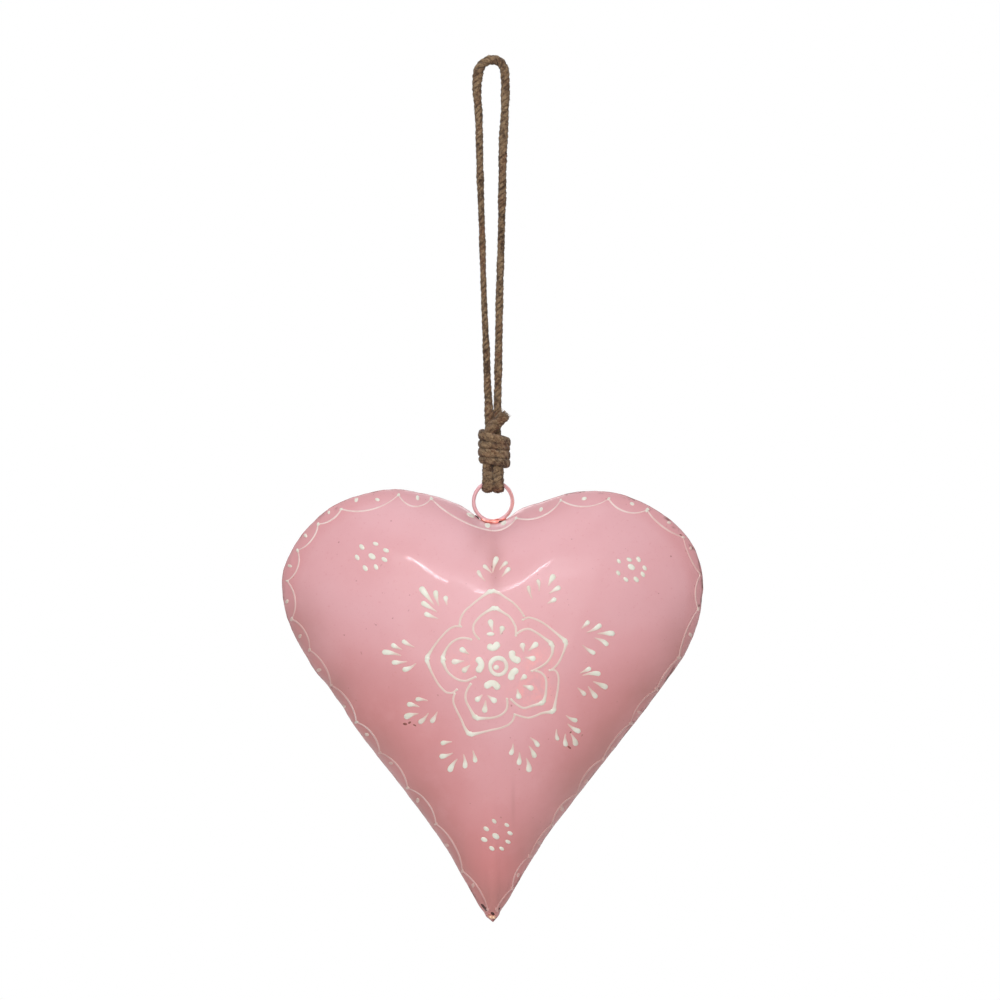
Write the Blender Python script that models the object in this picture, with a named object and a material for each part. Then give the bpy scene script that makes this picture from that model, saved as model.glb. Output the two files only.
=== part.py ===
"""Iron heart ornament: two pressed sheet domes welded at the rim, a wire ring and a jute cord.

Metres, +Z up. The origin is the inside of the cord loop's bight, where a nail carries the
ornament. The heart stands in the XZ plane and its painted front looks along -Y.
"""

import math

import bmesh
import bpy
from mathutils import Matrix, Vector

MM = 0.001

# Room between pieces that rest on each other
SEAT_GAP = 0.3 * MM

# Jute cord
CORD_DIAMETER = 2.9 * MM
CORD_POINT_SPACING = 2.2 * CORD_DIAMETER
CORD_BEVEL_RESOLUTION = 2

# The loop's route as (x, z) in millimetres: up the left leg, over the bight, down the right leg
LOOP_ROUTE = (
    (-1.8, -130.9),
    (-2.2, -122.0),
    (-2.5, -110.0),
    (-3.2, -97.0),
    (-3.8, -84.0),
    (-4.4, -66.0),
    (-4.9, -42.0),
    (-5.4, -20.0),
    (-5.9, -5.5),
    (-5.1, -1.4),
    (-2.9, 0.8),
    (-0.3, 1.5),
    (2.2, 0.8),
    (3.9, -1.4),
    (4.6, -5.0),
    (4.6, -15.0),
    (3.8, -32.0),
    (3.5, -50.0),
    (3.1, -68.0),
    (2.5, -88.0),
    (2.2, -106.0),
    (1.8, -122.0),
    (1.7, -130.9),
)

# Throat: both legs side by side above the knot
THROAT_LENGTH = 8.1 * MM

# Knot: turns wound round the core, down to the mouth
KNOT_SHIFT_X = 0.5 * MM
WRAP_DIAMETER = 2.8 * MM
WRAP_MEAN_RADIUS = 4.85 * MM
WRAP_PITCH = 3.3 * MM
WRAP_TURNS = 3.75
WRAP_POINTS_PER_TURN = 24
WRAP_BEVEL_RESOLUTION = 1
WRAP_LEAST_GAP = 0.4 * MM
WRAP_START_ANGLE = math.radians(90.0)
WRAP_TOP_DROP = 0.75 * MM
CORE_SIDES = 32

# Cut end of the cord, in front of the throat
TAIL_START_X = -1.9 * MM
TAIL_RUN_X = 7.2 * MM
TAIL_RISE = 4.9 * MM
TAIL_FRONT_ROOM = 0.4 * MM

# Neck and eye: two bights of cord through the ring
EYE_BIGHT_X = 2.1 * MM
EYE_RADIUS = 2.5 * MM
NECK_LENGTH = 4.7 * MM
NECK_LEG_ROOM = 0.5 * MM
NECK_SWAY_DEG = 20.0
MITRE_SPARE_DEG = 1.0
EYE_ARC_STEPS = 14
NECK_LEG_STEPS = 2

# Hanging ring
RING_MEAN_RADIUS = 7.4 * MM
RING_WIRE_DIAMETER = 1.45 * MM
RING_STEPS = 48
RING_WIRE_SIDES = 12

# Heart outline, half of it. Rises and drops are measured from the notch.
NOTCH_ROOM = 1.8 * MM
NOTCH_SLOPE_DEG = 28.0
NOTCH_HANDLE = 5.0 * MM
LOBE_X = 37.0 * MM
LOBE_RISE = 14.5 * MM
LOBE_INNER_HANDLE = 12.0 * MM
LOBE_OUTER_HANDLE = 15.0 * MM
HALF_WIDTH = 80.0 * MM
WIDEST_DROP = 23.7 * MM
SIDE_UPPER_HANDLE = 26.0 * MM
SIDE_LOWER_HANDLE = 32.0 * MM
TIP_DROP = 149.6 * MM
TIP_HALF_ANGLE_DEG = 26.0
TIP_HANDLE = 58.0 * MM
TIP_BLUNT_HALF_WIDTH = 2.5 * MM
TIP_BLUNT_RISE = 1.6 * MM
NOTCH_TO_LOBE_POINTS = 9
LOBE_TO_SIDE_POINTS = 10
SIDE_TO_TIP_POINTS = 17

# Domes of the two shells
DOME_DEPTH = 26.0 * MM
DOME_CENTRE_DROP = 47.0 * MM
DOME_CROWN_RADIUS = 62.0 * MM
DOME_SHOULDER = 2.3
DOME_RIM_POWER = 0.72
DOME_CONTOUR_POWER = 0.8
DOME_RINGS = 10
DOME_RING_CROWDING = 1.7
SHEET_THICKNESS = 0.7 * MM

# Weld run between the two rims
WELD_HALF_WIDTH = 0.5 * MM
WELD_CREST_HALF_WIDTH = 0.2 * MM
WELD_SHOULDER = 0.35 * MM
WELD_REACH = 1.8 * MM

# Brazed fillet between the ring and the notch
BRAZE_HALF_WIDTH = 2.6 * MM
BRAZE_HALF_DEPTH = 1.7 * MM
BRAZE_ARC_STEPS = 8

SMOOTH_ANGLE = math.radians(40.0)
PIVOT_DISPLAY_SIZE = 5.0 * MM

# Heights of the joints and seats, worked out from the sizes above
THROAT_TOP_Z = LOOP_ROUTE[0][1] * MM - SEAT_GAP
THROAT_BOTTOM_Z = THROAT_TOP_Z - THROAT_LENGTH
CORE_TOP_Z = THROAT_BOTTOM_Z - SEAT_GAP
WRAP_TOP_Z = CORE_TOP_Z - WRAP_TOP_DROP
WRAP_END_Z = WRAP_TOP_Z - WRAP_PITCH * WRAP_TURNS
CORE_BOTTOM_Z = WRAP_END_Z - 0.5 * WRAP_DIAMETER - SEAT_GAP
MOUTH_Z = CORE_BOTTOM_Z - SEAT_GAP
RING_AXIS_Z = MOUTH_Z - NECK_LENGTH
RING_CENTRE_Z = RING_AXIS_Z - math.sqrt(RING_MEAN_RADIUS**2 - EYE_BIGHT_X**2)
RING_OUTER_RADIUS = RING_MEAN_RADIUS + 0.5 * RING_WIRE_DIAMETER
NOTCH_Z = RING_CENTRE_Z - RING_OUTER_RADIUS - NOTCH_ROOM
CORE_RADIUS = WRAP_MEAN_RADIUS - 0.5 * WRAP_DIAMETER - SEAT_GAP
RIM_HALF_GAP = WELD_HALF_WIDTH + SEAT_GAP


def clear_scene():
    """Start from an empty scene."""
    for thing in list(bpy.context.scene.objects):
        bpy.data.objects.remove(thing, do_unlink=True)


def make_material(name, colour, roughness, metallic):
    """A Principled material with the piece's colour and finish."""
    material = bpy.data.materials.new(name)
    material.use_nodes = True
    shader = material.node_tree.nodes["Principled BSDF"]
    shader.inputs["Base Color"].default_value = (*colour, 1.0)
    shader.inputs["Roughness"].default_value = roughness
    shader.inputs["Metallic"].default_value = metallic
    material.diffuse_color = (*colour, 1.0)
    return material


def painted_iron():
    return make_material("pink_painted_iron", (0.77, 0.42, 0.45), 0.35, 0.0)


def brazing_metal():
    return make_material("salmon_braze", (0.80, 0.28, 0.24), 0.3, 0.2)


def jute():
    return make_material("brown_jute", (0.20, 0.13, 0.075), 0.95, 0.0)


def add_pivot(name, height, parent=None):
    """An empty on a joint's axis. Pieces that turn about that axis are its children."""
    pivot = bpy.data.objects.new(name, None)
    pivot.empty_display_size = PIVOT_DISPLAY_SIZE
    bpy.context.scene.collection.objects.link(pivot)
    pivot.parent = parent
    base = parent.matrix_world.translation.z if parent else 0.0
    pivot.location = (0.0, 0.0, height - base)
    bpy.context.view_layer.update()
    return pivot


def add_piece(name, data, material, pivot):
    """An object for one sub-part, drawn in world coordinates and carried by its pivot."""
    data.materials.clear()
    data.materials.append(material)
    piece = bpy.data.objects.new(name, data)
    bpy.context.scene.collection.objects.link(piece)
    piece.parent = pivot
    piece.matrix_parent_inverse = pivot.matrix_world.inverted()
    return piece


def finish_mesh(bm, name):
    """Turn a bmesh into a mesh with outward faces, round where it is round."""
    bmesh.ops.recalc_face_normals(bm, faces=bm.faces)
    mesh = bpy.data.meshes.new(name)
    bm.to_mesh(mesh)
    bm.free()
    mesh.shade_smooth()
    mesh.set_sharp_from_angle(angle=SMOOTH_ANGLE)
    return mesh


def bridge_rings(bm, first, second):
    """Faces between two closed rings of vertices with the same count."""
    count = len(first)
    for i in range(count):
        j = (i + 1) % count
        bm.faces.new((first[i], first[j], second[j], second[i]))


def bezier(start, start_handle, end_handle, end, count):
    """Points along a cubic curve, from its start up to but without its end."""
    points = []
    for i in range(count):
        t = i / count
        u = 1.0 - t
        points.append(
            u**3 * start
            + 3.0 * u**2 * t * start_handle
            + 3.0 * u * t**2 * end_handle
            + t**3 * end
        )
    return points


def heart_outline():
    """The heart's edge as (x, z) vectors, clockwise from the notch as seen from the front."""
    notch_slope = math.radians(NOTCH_SLOPE_DEG)
    tip_slope = math.radians(TIP_HALF_ANGLE_DEG)
    notch = Vector((0.0, NOTCH_Z))
    lobe = Vector((LOBE_X, NOTCH_Z + LOBE_RISE))
    side = Vector((HALF_WIDTH, NOTCH_Z - WIDEST_DROP))
    tip = Vector((0.0, NOTCH_Z - TIP_DROP))
    tip_corner = tip + Vector((TIP_BLUNT_HALF_WIDTH, TIP_BLUNT_RISE))
    from_notch = NOTCH_HANDLE * Vector((math.cos(notch_slope), math.sin(notch_slope)))
    from_tip = TIP_HANDLE * Vector((math.sin(tip_slope), math.cos(tip_slope)))
    across = Vector((1.0, 0.0))
    up = Vector((0.0, 1.0))
    right = bezier(
        notch,
        notch + from_notch,
        lobe - LOBE_INNER_HANDLE * across,
        lobe,
        NOTCH_TO_LOBE_POINTS,
    )
    right += bezier(
        lobe,
        lobe + LOBE_OUTER_HANDLE * across,
        side + SIDE_UPPER_HANDLE * up,
        side,
        LOBE_TO_SIDE_POINTS,
    )
    right += bezier(
        side,
        side - SIDE_LOWER_HANDLE * up,
        tip_corner + from_tip,
        tip_corner,
        SIDE_TO_TIP_POINTS,
    )
    right.append(tip_corner)
    left = [Vector((-point.x, point.y)) for point in reversed(right[1:])]
    return right + [tip] + left


def inset(outline, distance):
    """The outline moved inwards by a distance, with mitred corners."""
    moved = []
    count = len(outline)
    for i, here in enumerate(outline):
        before = (here - outline[i - 1]).normalized()
        after = (outline[(i + 1) % count] - here).normalized()
        side_before = Vector((before.y, -before.x))
        middle = (side_before + Vector((after.y, -after.x))).normalized()
        moved.append(here + middle * (distance / middle.dot(side_before)))
    return moved


def dome_height(share, depth):
    """Height of the dome above its rim, at a share of the way from the centre to the rim."""
    return depth * (1.0 - share**DOME_SHOULDER) ** DOME_RIM_POWER


def dome_point(edge, share, depth, front):
    """A point of a dome: heart-shaped contours near the rim, rounder ones near the crown."""
    centre = Vector((0.0, NOTCH_Z - DOME_CENTRE_DROP))
    ray = edge - centre
    likeness = share**DOME_CONTOUR_POWER
    reach = (1.0 - likeness) * DOME_CROWN_RADIUS + likeness * ray.length
    flat = centre + ray.normalized() * (share * reach)
    out = RIM_HALF_GAP + dome_height(share, depth)
    return Vector((flat.x, -out if front else out, flat.y))


def dome_surface(bm, outline, depth, front):
    """One curved face of a shell. Returns the ring of vertices at its rim."""
    crown = bm.verts.new(dome_point(outline[0], 0.0, depth, front))
    inner = None
    for ring in range(1, DOME_RINGS + 1):
        share = 1.0 - (1.0 - ring / DOME_RINGS) ** DOME_RING_CROWDING
        outer = [bm.verts.new(dome_point(edge, share, depth, front)) for edge in outline]
        if inner is None:
            for i, vertex in enumerate(outer):
                bm.faces.new((crown, vertex, outer[i - 1]))
        else:
            bridge_rings(bm, inner, outer)
        inner = outer
    return inner


def shell_mesh(name, front):
    """A pressed half of the heart: an outer and an inner dome, joined by a flat rim."""
    outline = heart_outline()
    bm = bmesh.new()
    outer_rim = dome_surface(bm, outline, DOME_DEPTH, front)
    inner_rim = dome_surface(
        bm, inset(outline, SHEET_THICKNESS), DOME_DEPTH - SHEET_THICKNESS, front
    )
    bridge_rings(bm, outer_rim, inner_rim)
    return finish_mesh(bm, name)


def weld_mesh():
    """The weld run: a thin band between the rims, with a rounded outer edge."""
    section = (
        (WELD_REACH, -WELD_HALF_WIDTH),
        (WELD_SHOULDER, -WELD_HALF_WIDTH),
        (0.0, -WELD_CREST_HALF_WIDTH),
        (0.0, WELD_CREST_HALF_WIDTH),
        (WELD_SHOULDER, WELD_HALF_WIDTH),
        (WELD_REACH, WELD_HALF_WIDTH),
    )
    outline = heart_outline()
    bm = bmesh.new()
    rings = []
    for depth_in, y in section:
        path = inset(outline, depth_in)
        rings.append([bm.verts.new((point.x, y, point.y)) for point in path])
    for i, ring in enumerate(rings):
        bridge_rings(bm, rings[i - 1], ring)
    return finish_mesh(bm, "seam_weld")


def ring_mesh():
    """The wire ring: a round wire section spun about the ring's axis."""
    bm = bmesh.new()
    circle = bmesh.ops.create_circle(
        bm,
        segments=RING_WIRE_SIDES,
        radius=0.5 * RING_WIRE_DIAMETER,
        matrix=Matrix.Translation((RING_MEAN_RADIUS, 0.0, RING_CENTRE_Z)),
    )
    edges = list({edge for vertex in circle["verts"] for edge in vertex.link_edges})
    bmesh.ops.spin(
        bm,
        geom=circle["verts"] + edges,
        cent=(0.0, 0.0, RING_CENTRE_Z),
        axis=(0.0, 1.0, 0.0),
        angle=2.0 * math.pi,
        steps=RING_STEPS,
        use_merge=True,
    )
    return finish_mesh(bm, "hanging_ring")


def braze_mesh():
    """The fillet under the ring: its top follows the ring's wire, its foot the notch."""
    slope = math.radians(NOTCH_SLOPE_DEG)
    top_radius = RING_OUTER_RADIUS + SEAT_GAP
    foot_z = NOTCH_Z + SEAT_GAP / math.cos(slope)
    profile = [(0.0, foot_z)]
    profile.append((BRAZE_HALF_WIDTH, foot_z + BRAZE_HALF_WIDTH * math.tan(slope)))
    for step in range(BRAZE_ARC_STEPS + 1):
        x = BRAZE_HALF_WIDTH * (1.0 - 2.0 * step / BRAZE_ARC_STEPS)
        profile.append((x, RING_CENTRE_Z - math.sqrt(top_radius**2 - x**2)))
    profile.append((-BRAZE_HALF_WIDTH, foot_z + BRAZE_HALF_WIDTH * math.tan(slope)))
    bm = bmesh.new()
    front = bm.faces.new([bm.verts.new((x, -BRAZE_HALF_DEPTH, z)) for x, z in profile])
    grown = bmesh.ops.extrude_face_region(bm, geom=[front])
    moved = [item for item in grown["geom"] if isinstance(item, bmesh.types.BMVert)]
    bmesh.ops.translate(bm, vec=(0.0, 2.0 * BRAZE_HALF_DEPTH, 0.0), verts=moved)
    return finish_mesh(bm, "ring_braze")


def smooth_route(points, spacing):
    """Points read from a smooth curve through the given ones, no wider apart than the spacing."""
    count = len(points)
    tangents = []
    for i in range(count):
        back = points[i] - points[max(i - 1, 0)]
        ahead = points[min(i + 1, count - 1)] - points[i]
        if i == 0:
            tangents.append(ahead.normalized())
        elif i == count - 1:
            tangents.append(back.normalized())
        else:
            weighted = back.normalized() * ahead.length + ahead.normalized() * back.length
            tangents.append(weighted.normalized())
    route = []
    for i in range(count - 1):
        start = points[i]
        end = points[i + 1]
        span = (end - start).length
        steps = max(2, math.ceil(span / spacing))
        third = span / 3.0
        route += bezier(
            start, start + tangents[i] * third, end - tangents[i + 1] * third, end, steps
        )
    return route + [points[-1]]


def cord_curve(name, points, diameter, resolution):
    """A round cord along points, with closed ends."""
    curve = bpy.data.curves.new(name, "CURVE")
    curve.dimensions = "3D"
    curve.bevel_depth = 0.5 * diameter
    curve.bevel_resolution = resolution
    curve.use_fill_caps = True
    spline = curve.splines.new("POLY")
    spline.points.add(len(points) - 1)
    for slot, point in zip(spline.points, points):
        slot.co = (*point, 1.0)
    spline.use_smooth = True
    return curve


def loop_curve():
    """The hanging loop, as one tube from the left leg's foot to the right leg's."""
    chosen = [Vector((x * MM, 0.0, z * MM)) for x, z in LOOP_ROUTE]
    route = smooth_route(chosen, CORD_POINT_SPACING)
    return cord_curve("cord_loop", route, CORD_DIAMETER, CORD_BEVEL_RESOLUTION)


def throat_curve(name, route_end):
    """One leg's stretch beside the other, straight down from the loop to the knot's core."""
    x = route_end[0] * MM
    points = [Vector((x, 0.0, THROAT_TOP_Z)), Vector((x, 0.0, THROAT_BOTTOM_Z))]
    return cord_curve(name, points, CORD_DIAMETER, CORD_BEVEL_RESOLUTION)


def core_mesh():
    """The strands inside the knot, as the plain cylinder that the turns are wound on."""
    bm = bmesh.new()
    height = CORE_TOP_Z - CORE_BOTTOM_Z
    bmesh.ops.create_cone(
        bm,
        cap_ends=True,
        segments=CORE_SIDES,
        radius1=CORE_RADIUS,
        radius2=CORE_RADIUS,
        depth=height,
        matrix=Matrix.Translation((KNOT_SHIFT_X, 0.0, CORE_TOP_Z - 0.5 * height)),
    )
    return finish_mesh(bm, "cord_core")


def wrap_points():
    """The knot's winding from its top to its mouth, with a straight run at each end."""
    count = round(WRAP_TURNS * WRAP_POINTS_PER_TURN)
    points = []
    for i in range(count + 1):
        turned = i / WRAP_POINTS_PER_TURN
        angle = WRAP_START_ANGLE + 2.0 * math.pi * turned
        x = KNOT_SHIFT_X + WRAP_MEAN_RADIUS * math.cos(angle)
        y = WRAP_MEAN_RADIUS * math.sin(angle)
        points.append(Vector((x, y, WRAP_TOP_Z - WRAP_PITCH * turned)))
    first_way = (points[0] - points[1]).normalized()
    last_way = (points[-1] - points[-2]).normalized()
    start = points[0] + WRAP_DIAMETER * first_way
    end = points[-1] + WRAP_DIAMETER * last_way
    return [start] + points + [end]


def least_gap_to_itself(points, diameter):
    """The least room between two turns of a tube, measured between points half a turn apart."""
    apart = WRAP_POINTS_PER_TURN // 2
    least = math.inf
    for i, here in enumerate(points):
        for there in points[i + apart :]:
            least = min(least, (here - there).length - diameter)
    return least


def wraps_curve():
    """The knot's turns, as one unbroken tube."""
    points = wrap_points()
    gap = least_gap_to_itself(points, WRAP_DIAMETER)
    print(f"cord_wraps: least gap to itself {gap / MM:.2f} mm")
    if gap <= WRAP_LEAST_GAP:
        print(f"cord_wraps: the turns are closer than {WRAP_LEAST_GAP / MM:.2f} mm")
    return cord_curve("cord_wraps", points, WRAP_DIAMETER, WRAP_BEVEL_RESOLUTION)


def tail_curve():
    """The cord's cut end, which leans to the right in front of the throat."""
    lean = math.atan2(TAIL_RISE, TAIL_RUN_X)
    corner_drop = 0.5 * CORD_DIAMETER * math.cos(lean)
    y = -(CORD_DIAMETER + TAIL_FRONT_ROOM)
    start = Vector((TAIL_START_X, y, CORE_TOP_Z + SEAT_GAP + corner_drop))
    end = start + Vector((TAIL_RUN_X, 0.0, TAIL_RISE))
    return cord_curve("cord_tail", [start, end], CORD_DIAMETER, CORD_BEVEL_RESOLUTION)


def eye_points(x):
    """One bight from the knot's mouth down the front, under the ring's wire and up the back."""
    mouth_y = 0.5 * (CORD_DIAMETER + NECK_LEG_ROOM)
    reach = math.hypot(mouth_y, NECK_LENGTH)
    mouth_angle = math.atan2(NECK_LENGTH, -mouth_y)
    start_angle = mouth_angle + math.acos(EYE_RADIUS / reach)
    sweep = 2.0 * (1.5 * math.pi - start_angle)
    mouth = Vector((x, -mouth_y, MOUTH_Z))
    arc = []
    for step in range(EYE_ARC_STEPS + 1):
        angle = start_angle + sweep * step / EYE_ARC_STEPS
        y = EYE_RADIUS * math.cos(angle)
        z = RING_AXIS_Z + EYE_RADIUS * math.sin(angle)
        arc.append(Vector((x, y, z)))
    leg = [mouth.lerp(arc[0], step / NECK_LEG_STEPS) for step in range(NECK_LEG_STEPS)]
    other_leg = [Vector((point.x, -point.y, point.z)) for point in reversed(leg)]
    return leg + arc + other_leg


def eye_mesh(name, x):
    """A bight whose two ends are mitred, so that it can sway sideways under the knot."""
    curve = cord_curve(name + "_route", eye_points(x), CORD_DIAMETER, CORD_BEVEL_RESOLUTION)
    guide = bpy.data.objects.new(name + "_route", curve)
    bpy.context.scene.collection.objects.link(guide)
    shape = guide.evaluated_get(bpy.context.evaluated_depsgraph_get()).to_mesh()
    bm = bmesh.new()
    bm.from_mesh(shape)
    bpy.data.objects.remove(guide, do_unlink=True)
    bmesh.ops.remove_doubles(bm, verts=bm.verts, dist=0.01 * MM)
    lean = math.radians(NECK_SWAY_DEG + MITRE_SPARE_DEG)
    cut = bmesh.ops.bisect_plane(
        bm,
        geom=bm.verts[:] + bm.edges[:] + bm.faces[:],
        plane_co=(0.0, 0.0, MOUTH_Z),
        plane_no=(math.copysign(math.sin(lean), x), 0.0, math.cos(lean)),
        clear_outer=True,
    )
    open_edges = [item for item in cut["geom_cut"] if isinstance(item, bmesh.types.BMEdge)]
    bmesh.ops.holes_fill(bm, edges=open_edges, sides=0)
    return finish_mesh(bm, name)


def build_cord_loop(pivot, material):
    add_piece("cord_loop", loop_curve(), material, pivot)


def build_knot(pivot, material):
    add_piece("cord_throat_left", throat_curve("cord_throat_left", LOOP_ROUTE[0]), material, pivot)
    add_piece("cord_throat_right", throat_curve("cord_throat_right", LOOP_ROUTE[-1]), material, pivot)
    add_piece("cord_core", core_mesh(), material, pivot)
    add_piece("cord_wraps", wraps_curve(), material, pivot)
    add_piece("cord_tail", tail_curve(), material, pivot)


def build_eye(pivot, material):
    add_piece("cord_eye_left", eye_mesh("cord_eye_left", -EYE_BIGHT_X), material, pivot)
    add_piece("cord_eye_right", eye_mesh("cord_eye_right", EYE_BIGHT_X), material, pivot)


def build_heart(pivot, paint, braze):
    add_piece("front_shell", shell_mesh("front_shell", True), paint, pivot)
    add_piece("back_shell", shell_mesh("back_shell", False), paint, pivot)
    add_piece("seam_weld", weld_mesh(), paint, pivot)
    add_piece("hanging_ring", ring_mesh(), paint, pivot)
    add_piece("ring_braze", braze_mesh(), braze, pivot)


def main():
    clear_scene()
    cord = jute()
    hanging_point = add_pivot("hanging_point", 0.0)
    twist_axis = add_pivot("twist_axis", THROAT_TOP_Z, hanging_point)
    neck_axis = add_pivot("neck_axis", MOUTH_Z, twist_axis)
    ring_axis = add_pivot("ring_axis", RING_AXIS_Z, neck_axis)
    build_cord_loop(hanging_point, cord)
    build_knot(twist_axis, cord)
    build_eye(neck_axis, cord)
    build_heart(ring_axis, painted_iron(), brazing_metal())


main()
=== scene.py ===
import math

import bmesh
import bpy
import numpy as np
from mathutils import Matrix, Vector


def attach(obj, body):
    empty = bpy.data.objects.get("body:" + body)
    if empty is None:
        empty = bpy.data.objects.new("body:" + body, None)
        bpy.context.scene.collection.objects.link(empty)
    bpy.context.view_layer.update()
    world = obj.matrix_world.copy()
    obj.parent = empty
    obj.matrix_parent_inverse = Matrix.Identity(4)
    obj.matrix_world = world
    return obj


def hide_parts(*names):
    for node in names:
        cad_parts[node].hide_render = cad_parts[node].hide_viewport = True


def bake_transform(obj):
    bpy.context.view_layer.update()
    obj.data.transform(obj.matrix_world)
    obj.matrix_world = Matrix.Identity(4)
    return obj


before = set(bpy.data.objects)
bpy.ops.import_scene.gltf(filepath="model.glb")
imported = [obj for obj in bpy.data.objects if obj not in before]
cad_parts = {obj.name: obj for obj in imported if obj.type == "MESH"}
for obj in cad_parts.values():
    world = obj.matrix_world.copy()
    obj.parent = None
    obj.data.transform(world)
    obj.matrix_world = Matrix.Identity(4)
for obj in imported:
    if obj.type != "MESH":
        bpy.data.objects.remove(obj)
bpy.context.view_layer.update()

MM = 0.001
SEED = 11
# The number of each piece's own stream of random draws. The right bight's follows the left one's.
EDGE_STREAM = 0
DENT_STREAM = 1
BEAD_STREAM = 2
SPRAY_STREAM = 3
FLOWER_STREAM = 4
SCALLOP_STREAM = 5
RING_STREAM = 6
BRAZE_STREAM = 7
BORDER_DOT_STREAM = 8
GRIME_STREAM = 9
LOOP_STREAM = 20
KNOT_STREAM = 21
EYE_STREAM = 22

# The photograph's camera. The sizes are worked out for a square picture 1000 pixels wide.
LENS = 85.0
SENSOR = 36.0
CAMERA_DISTANCE = 899.6 * MM
CAMERA_X = 2.67 * MM
CAMERA_Z = -165.97 * MM
PICTURE_CENTRE = 500.0
PIXEL_SLOPE = SENSOR / LENS / 1000.0
PIXEL = CAMERA_DISTANCE * PIXEL_SLOPE
SIGHT_ROUNDS = 6

# Jute cord, with the routes that the CAD has, in mm
LOOP_ROUTE = (
    (-1.6, -130.9), (-2.1, -122.0), (-2.5, -110.0), (-3.1, -97.0), (-3.6, -84.0), (-4.1, -66.0),
    (-4.9, -42.0), (-5.4, -20.0), (-5.9, -5.5), (-5.1, -1.4), (-2.9, 1.0), (-0.2, 1.8), (2.3, 1.2),
    (4.1, -1.1), (4.6, -5.0), (4.6, -15.0), (3.8, -32.0), (3.5, -50.0), (3.1, -68.0), (2.5, -88.0),
    (2.2, -106.0), (1.9, -122.0), (1.7, -130.9),
)
LOOP_FOOT_X = 1.3 * MM
LOOP_FOOT_Z = -144.5 * MM
KNOT_SHIFT_X = 0.5 * MM
WRAP_MEAN_RADIUS = 4.4 * MM
WRAP_OUTSIDE = 5.9 * MM
WRAP_OUTSIDE_GIVE = 0.55
WRAP_PITCH = 2.85 * MM
WRAP_TURNS = 3.75
WRAP_POINTS_PER_TURN = 24
WRAP_TOP_Z = -141.25 * MM
WRAP_START_ANGLE = math.radians(90.0)
WRAP_SWELL = 0.3 * MM
WRAP_SWELL_COUNT = 2.1
WRAP_SWELL_START = 0.6
WRAP_TOP_LEAN = 1.1 * MM
WRAP_LEAN_TURNS = 1.6
INSIDE_ROUTE = (
    # from the winding's last turn up inside it, and out at the throat as the cut end
    (4.2, 2.8, -151.8), (2.2, 3.2, -150.8), (0.2, 1.6, -148.2), (-0.9, -0.6, -145.2),
    (-1.7, -2.6, -142.0), (-0.9, -3.2, -139.5), (1.5, -3.4, -136.9), (4.5, -3.3, -133.6),
)
MOUTH_Z = -154.725 * MM
EYE_BIGHT_X = 1.95 * MM
EYE_RADIUS = 2.5 * MM
NECK_LENGTH = 4.7 * MM
NECK_MOUTH_Y = 1.7 * MM
LEG_HEIGHTS = (-133.0, -118.0, -97.0, -80.0, -60.0, -42.0, -31.0, -18.0, 2.0)
LEFT_LEG_RADII = (1.62, 1.4, 1.24, 1.16, 1.2, 1.4, 1.44, 1.56, 1.84)
RIGHT_LEG_RADII = (1.62, 1.42, 1.46, 1.46, 1.42, 1.5, 1.76, 1.6, 1.84)
KNOT_SHARES = (0.0, 0.06, 0.2, 0.3, 0.42, 0.5, 0.62, 0.78, 0.84, 0.92, 0.97, 1.0)
KNOT_RADII = (1.3, 1.9, 2.05, 1.7, 1.45, 1.9, 1.9, 1.7, 1.2, 1.9, 2.15, 2.1)
NECK_WIDENING = 1.42
EYE_ROOT_Z = -145.3 * MM
EYE_ARC_STEPS = 24
EYE_HEIGHTS = (-162.0, -150.0)
EYE_RADII = (1.52, 1.38)

# Twine: plies twisted together, with fibres that stand off
TWINE_STEP = 0.26 * MM
TWINE_SIDES = 36
TWINE_PLIES = 3
TWINE_EASE_ROUNDS = 16
LOOP_STEPS = 12
KNOT_STEPS = 6
EYE_STEPS = 4
LEAST_ACROSS = 0.1
# pitch of the lay, depth of its grooves and darkness of their painted shade, and how far the fibres
# stand off
LOOSE_LAY = (7.2 * MM, 0.24, 0.9, 0.7 * MM)
TIGHT_LAY = (5.2 * MM, 0.14, 0.8, 0.5 * MM)
KNOT_LAY = (11.0 * MM, 0.12, 0.6, 0.6 * MM)
FIBRE_DEPTH = 0.075
FIBRE_WAVES = (7, 11, 16, 23)
FIBRE_DRIFT_LENGTH = 4.0 * MM
RIDGE_POWER = 0.55
LUMP_DEPTH = 0.08
LUMP_COUNTS = (5, 9, 14, 23, 37)
SLACK_COUNTS = (3, 7, 13)
# loose fibres, with ranges in mm for their length and sway, and their lift as a share of the reach
HAIR_RADIUS = 0.05 * MM
HAIR_SEGMENTS = 4
HAIR_TAPER = 0.7
HAIR_LENGTHS = (0.8, 2.4)
HAIR_LIFTS = (0.15, 1.0)
HAIR_SWAY = 0.8
HAIR_CURL_POWER = 1.5
HAIR_ROOT_SHARE = 0.85
HAIR_GROOVE = 1.2
LOOSE_LAY_REACHES = (9.0, 9.0, 90.0)
LOOP_HAIRS = 560
KNOT_HAIRS = 300
EYE_HAIRS = 40
FRAY_COUNT = 160
FRAY_RADIUS = 0.11 * MM
FRAY_ROOT = 0.3
FRAY_SHARE = 0.95
FRAY_SPREAD = (-0.2, 0.55)
FRAY_LENGTHS = (0.6, 1.7)
FRAY_CURL = 0.3
FRAY_GROOVES = (0.3, 1.2)

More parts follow.
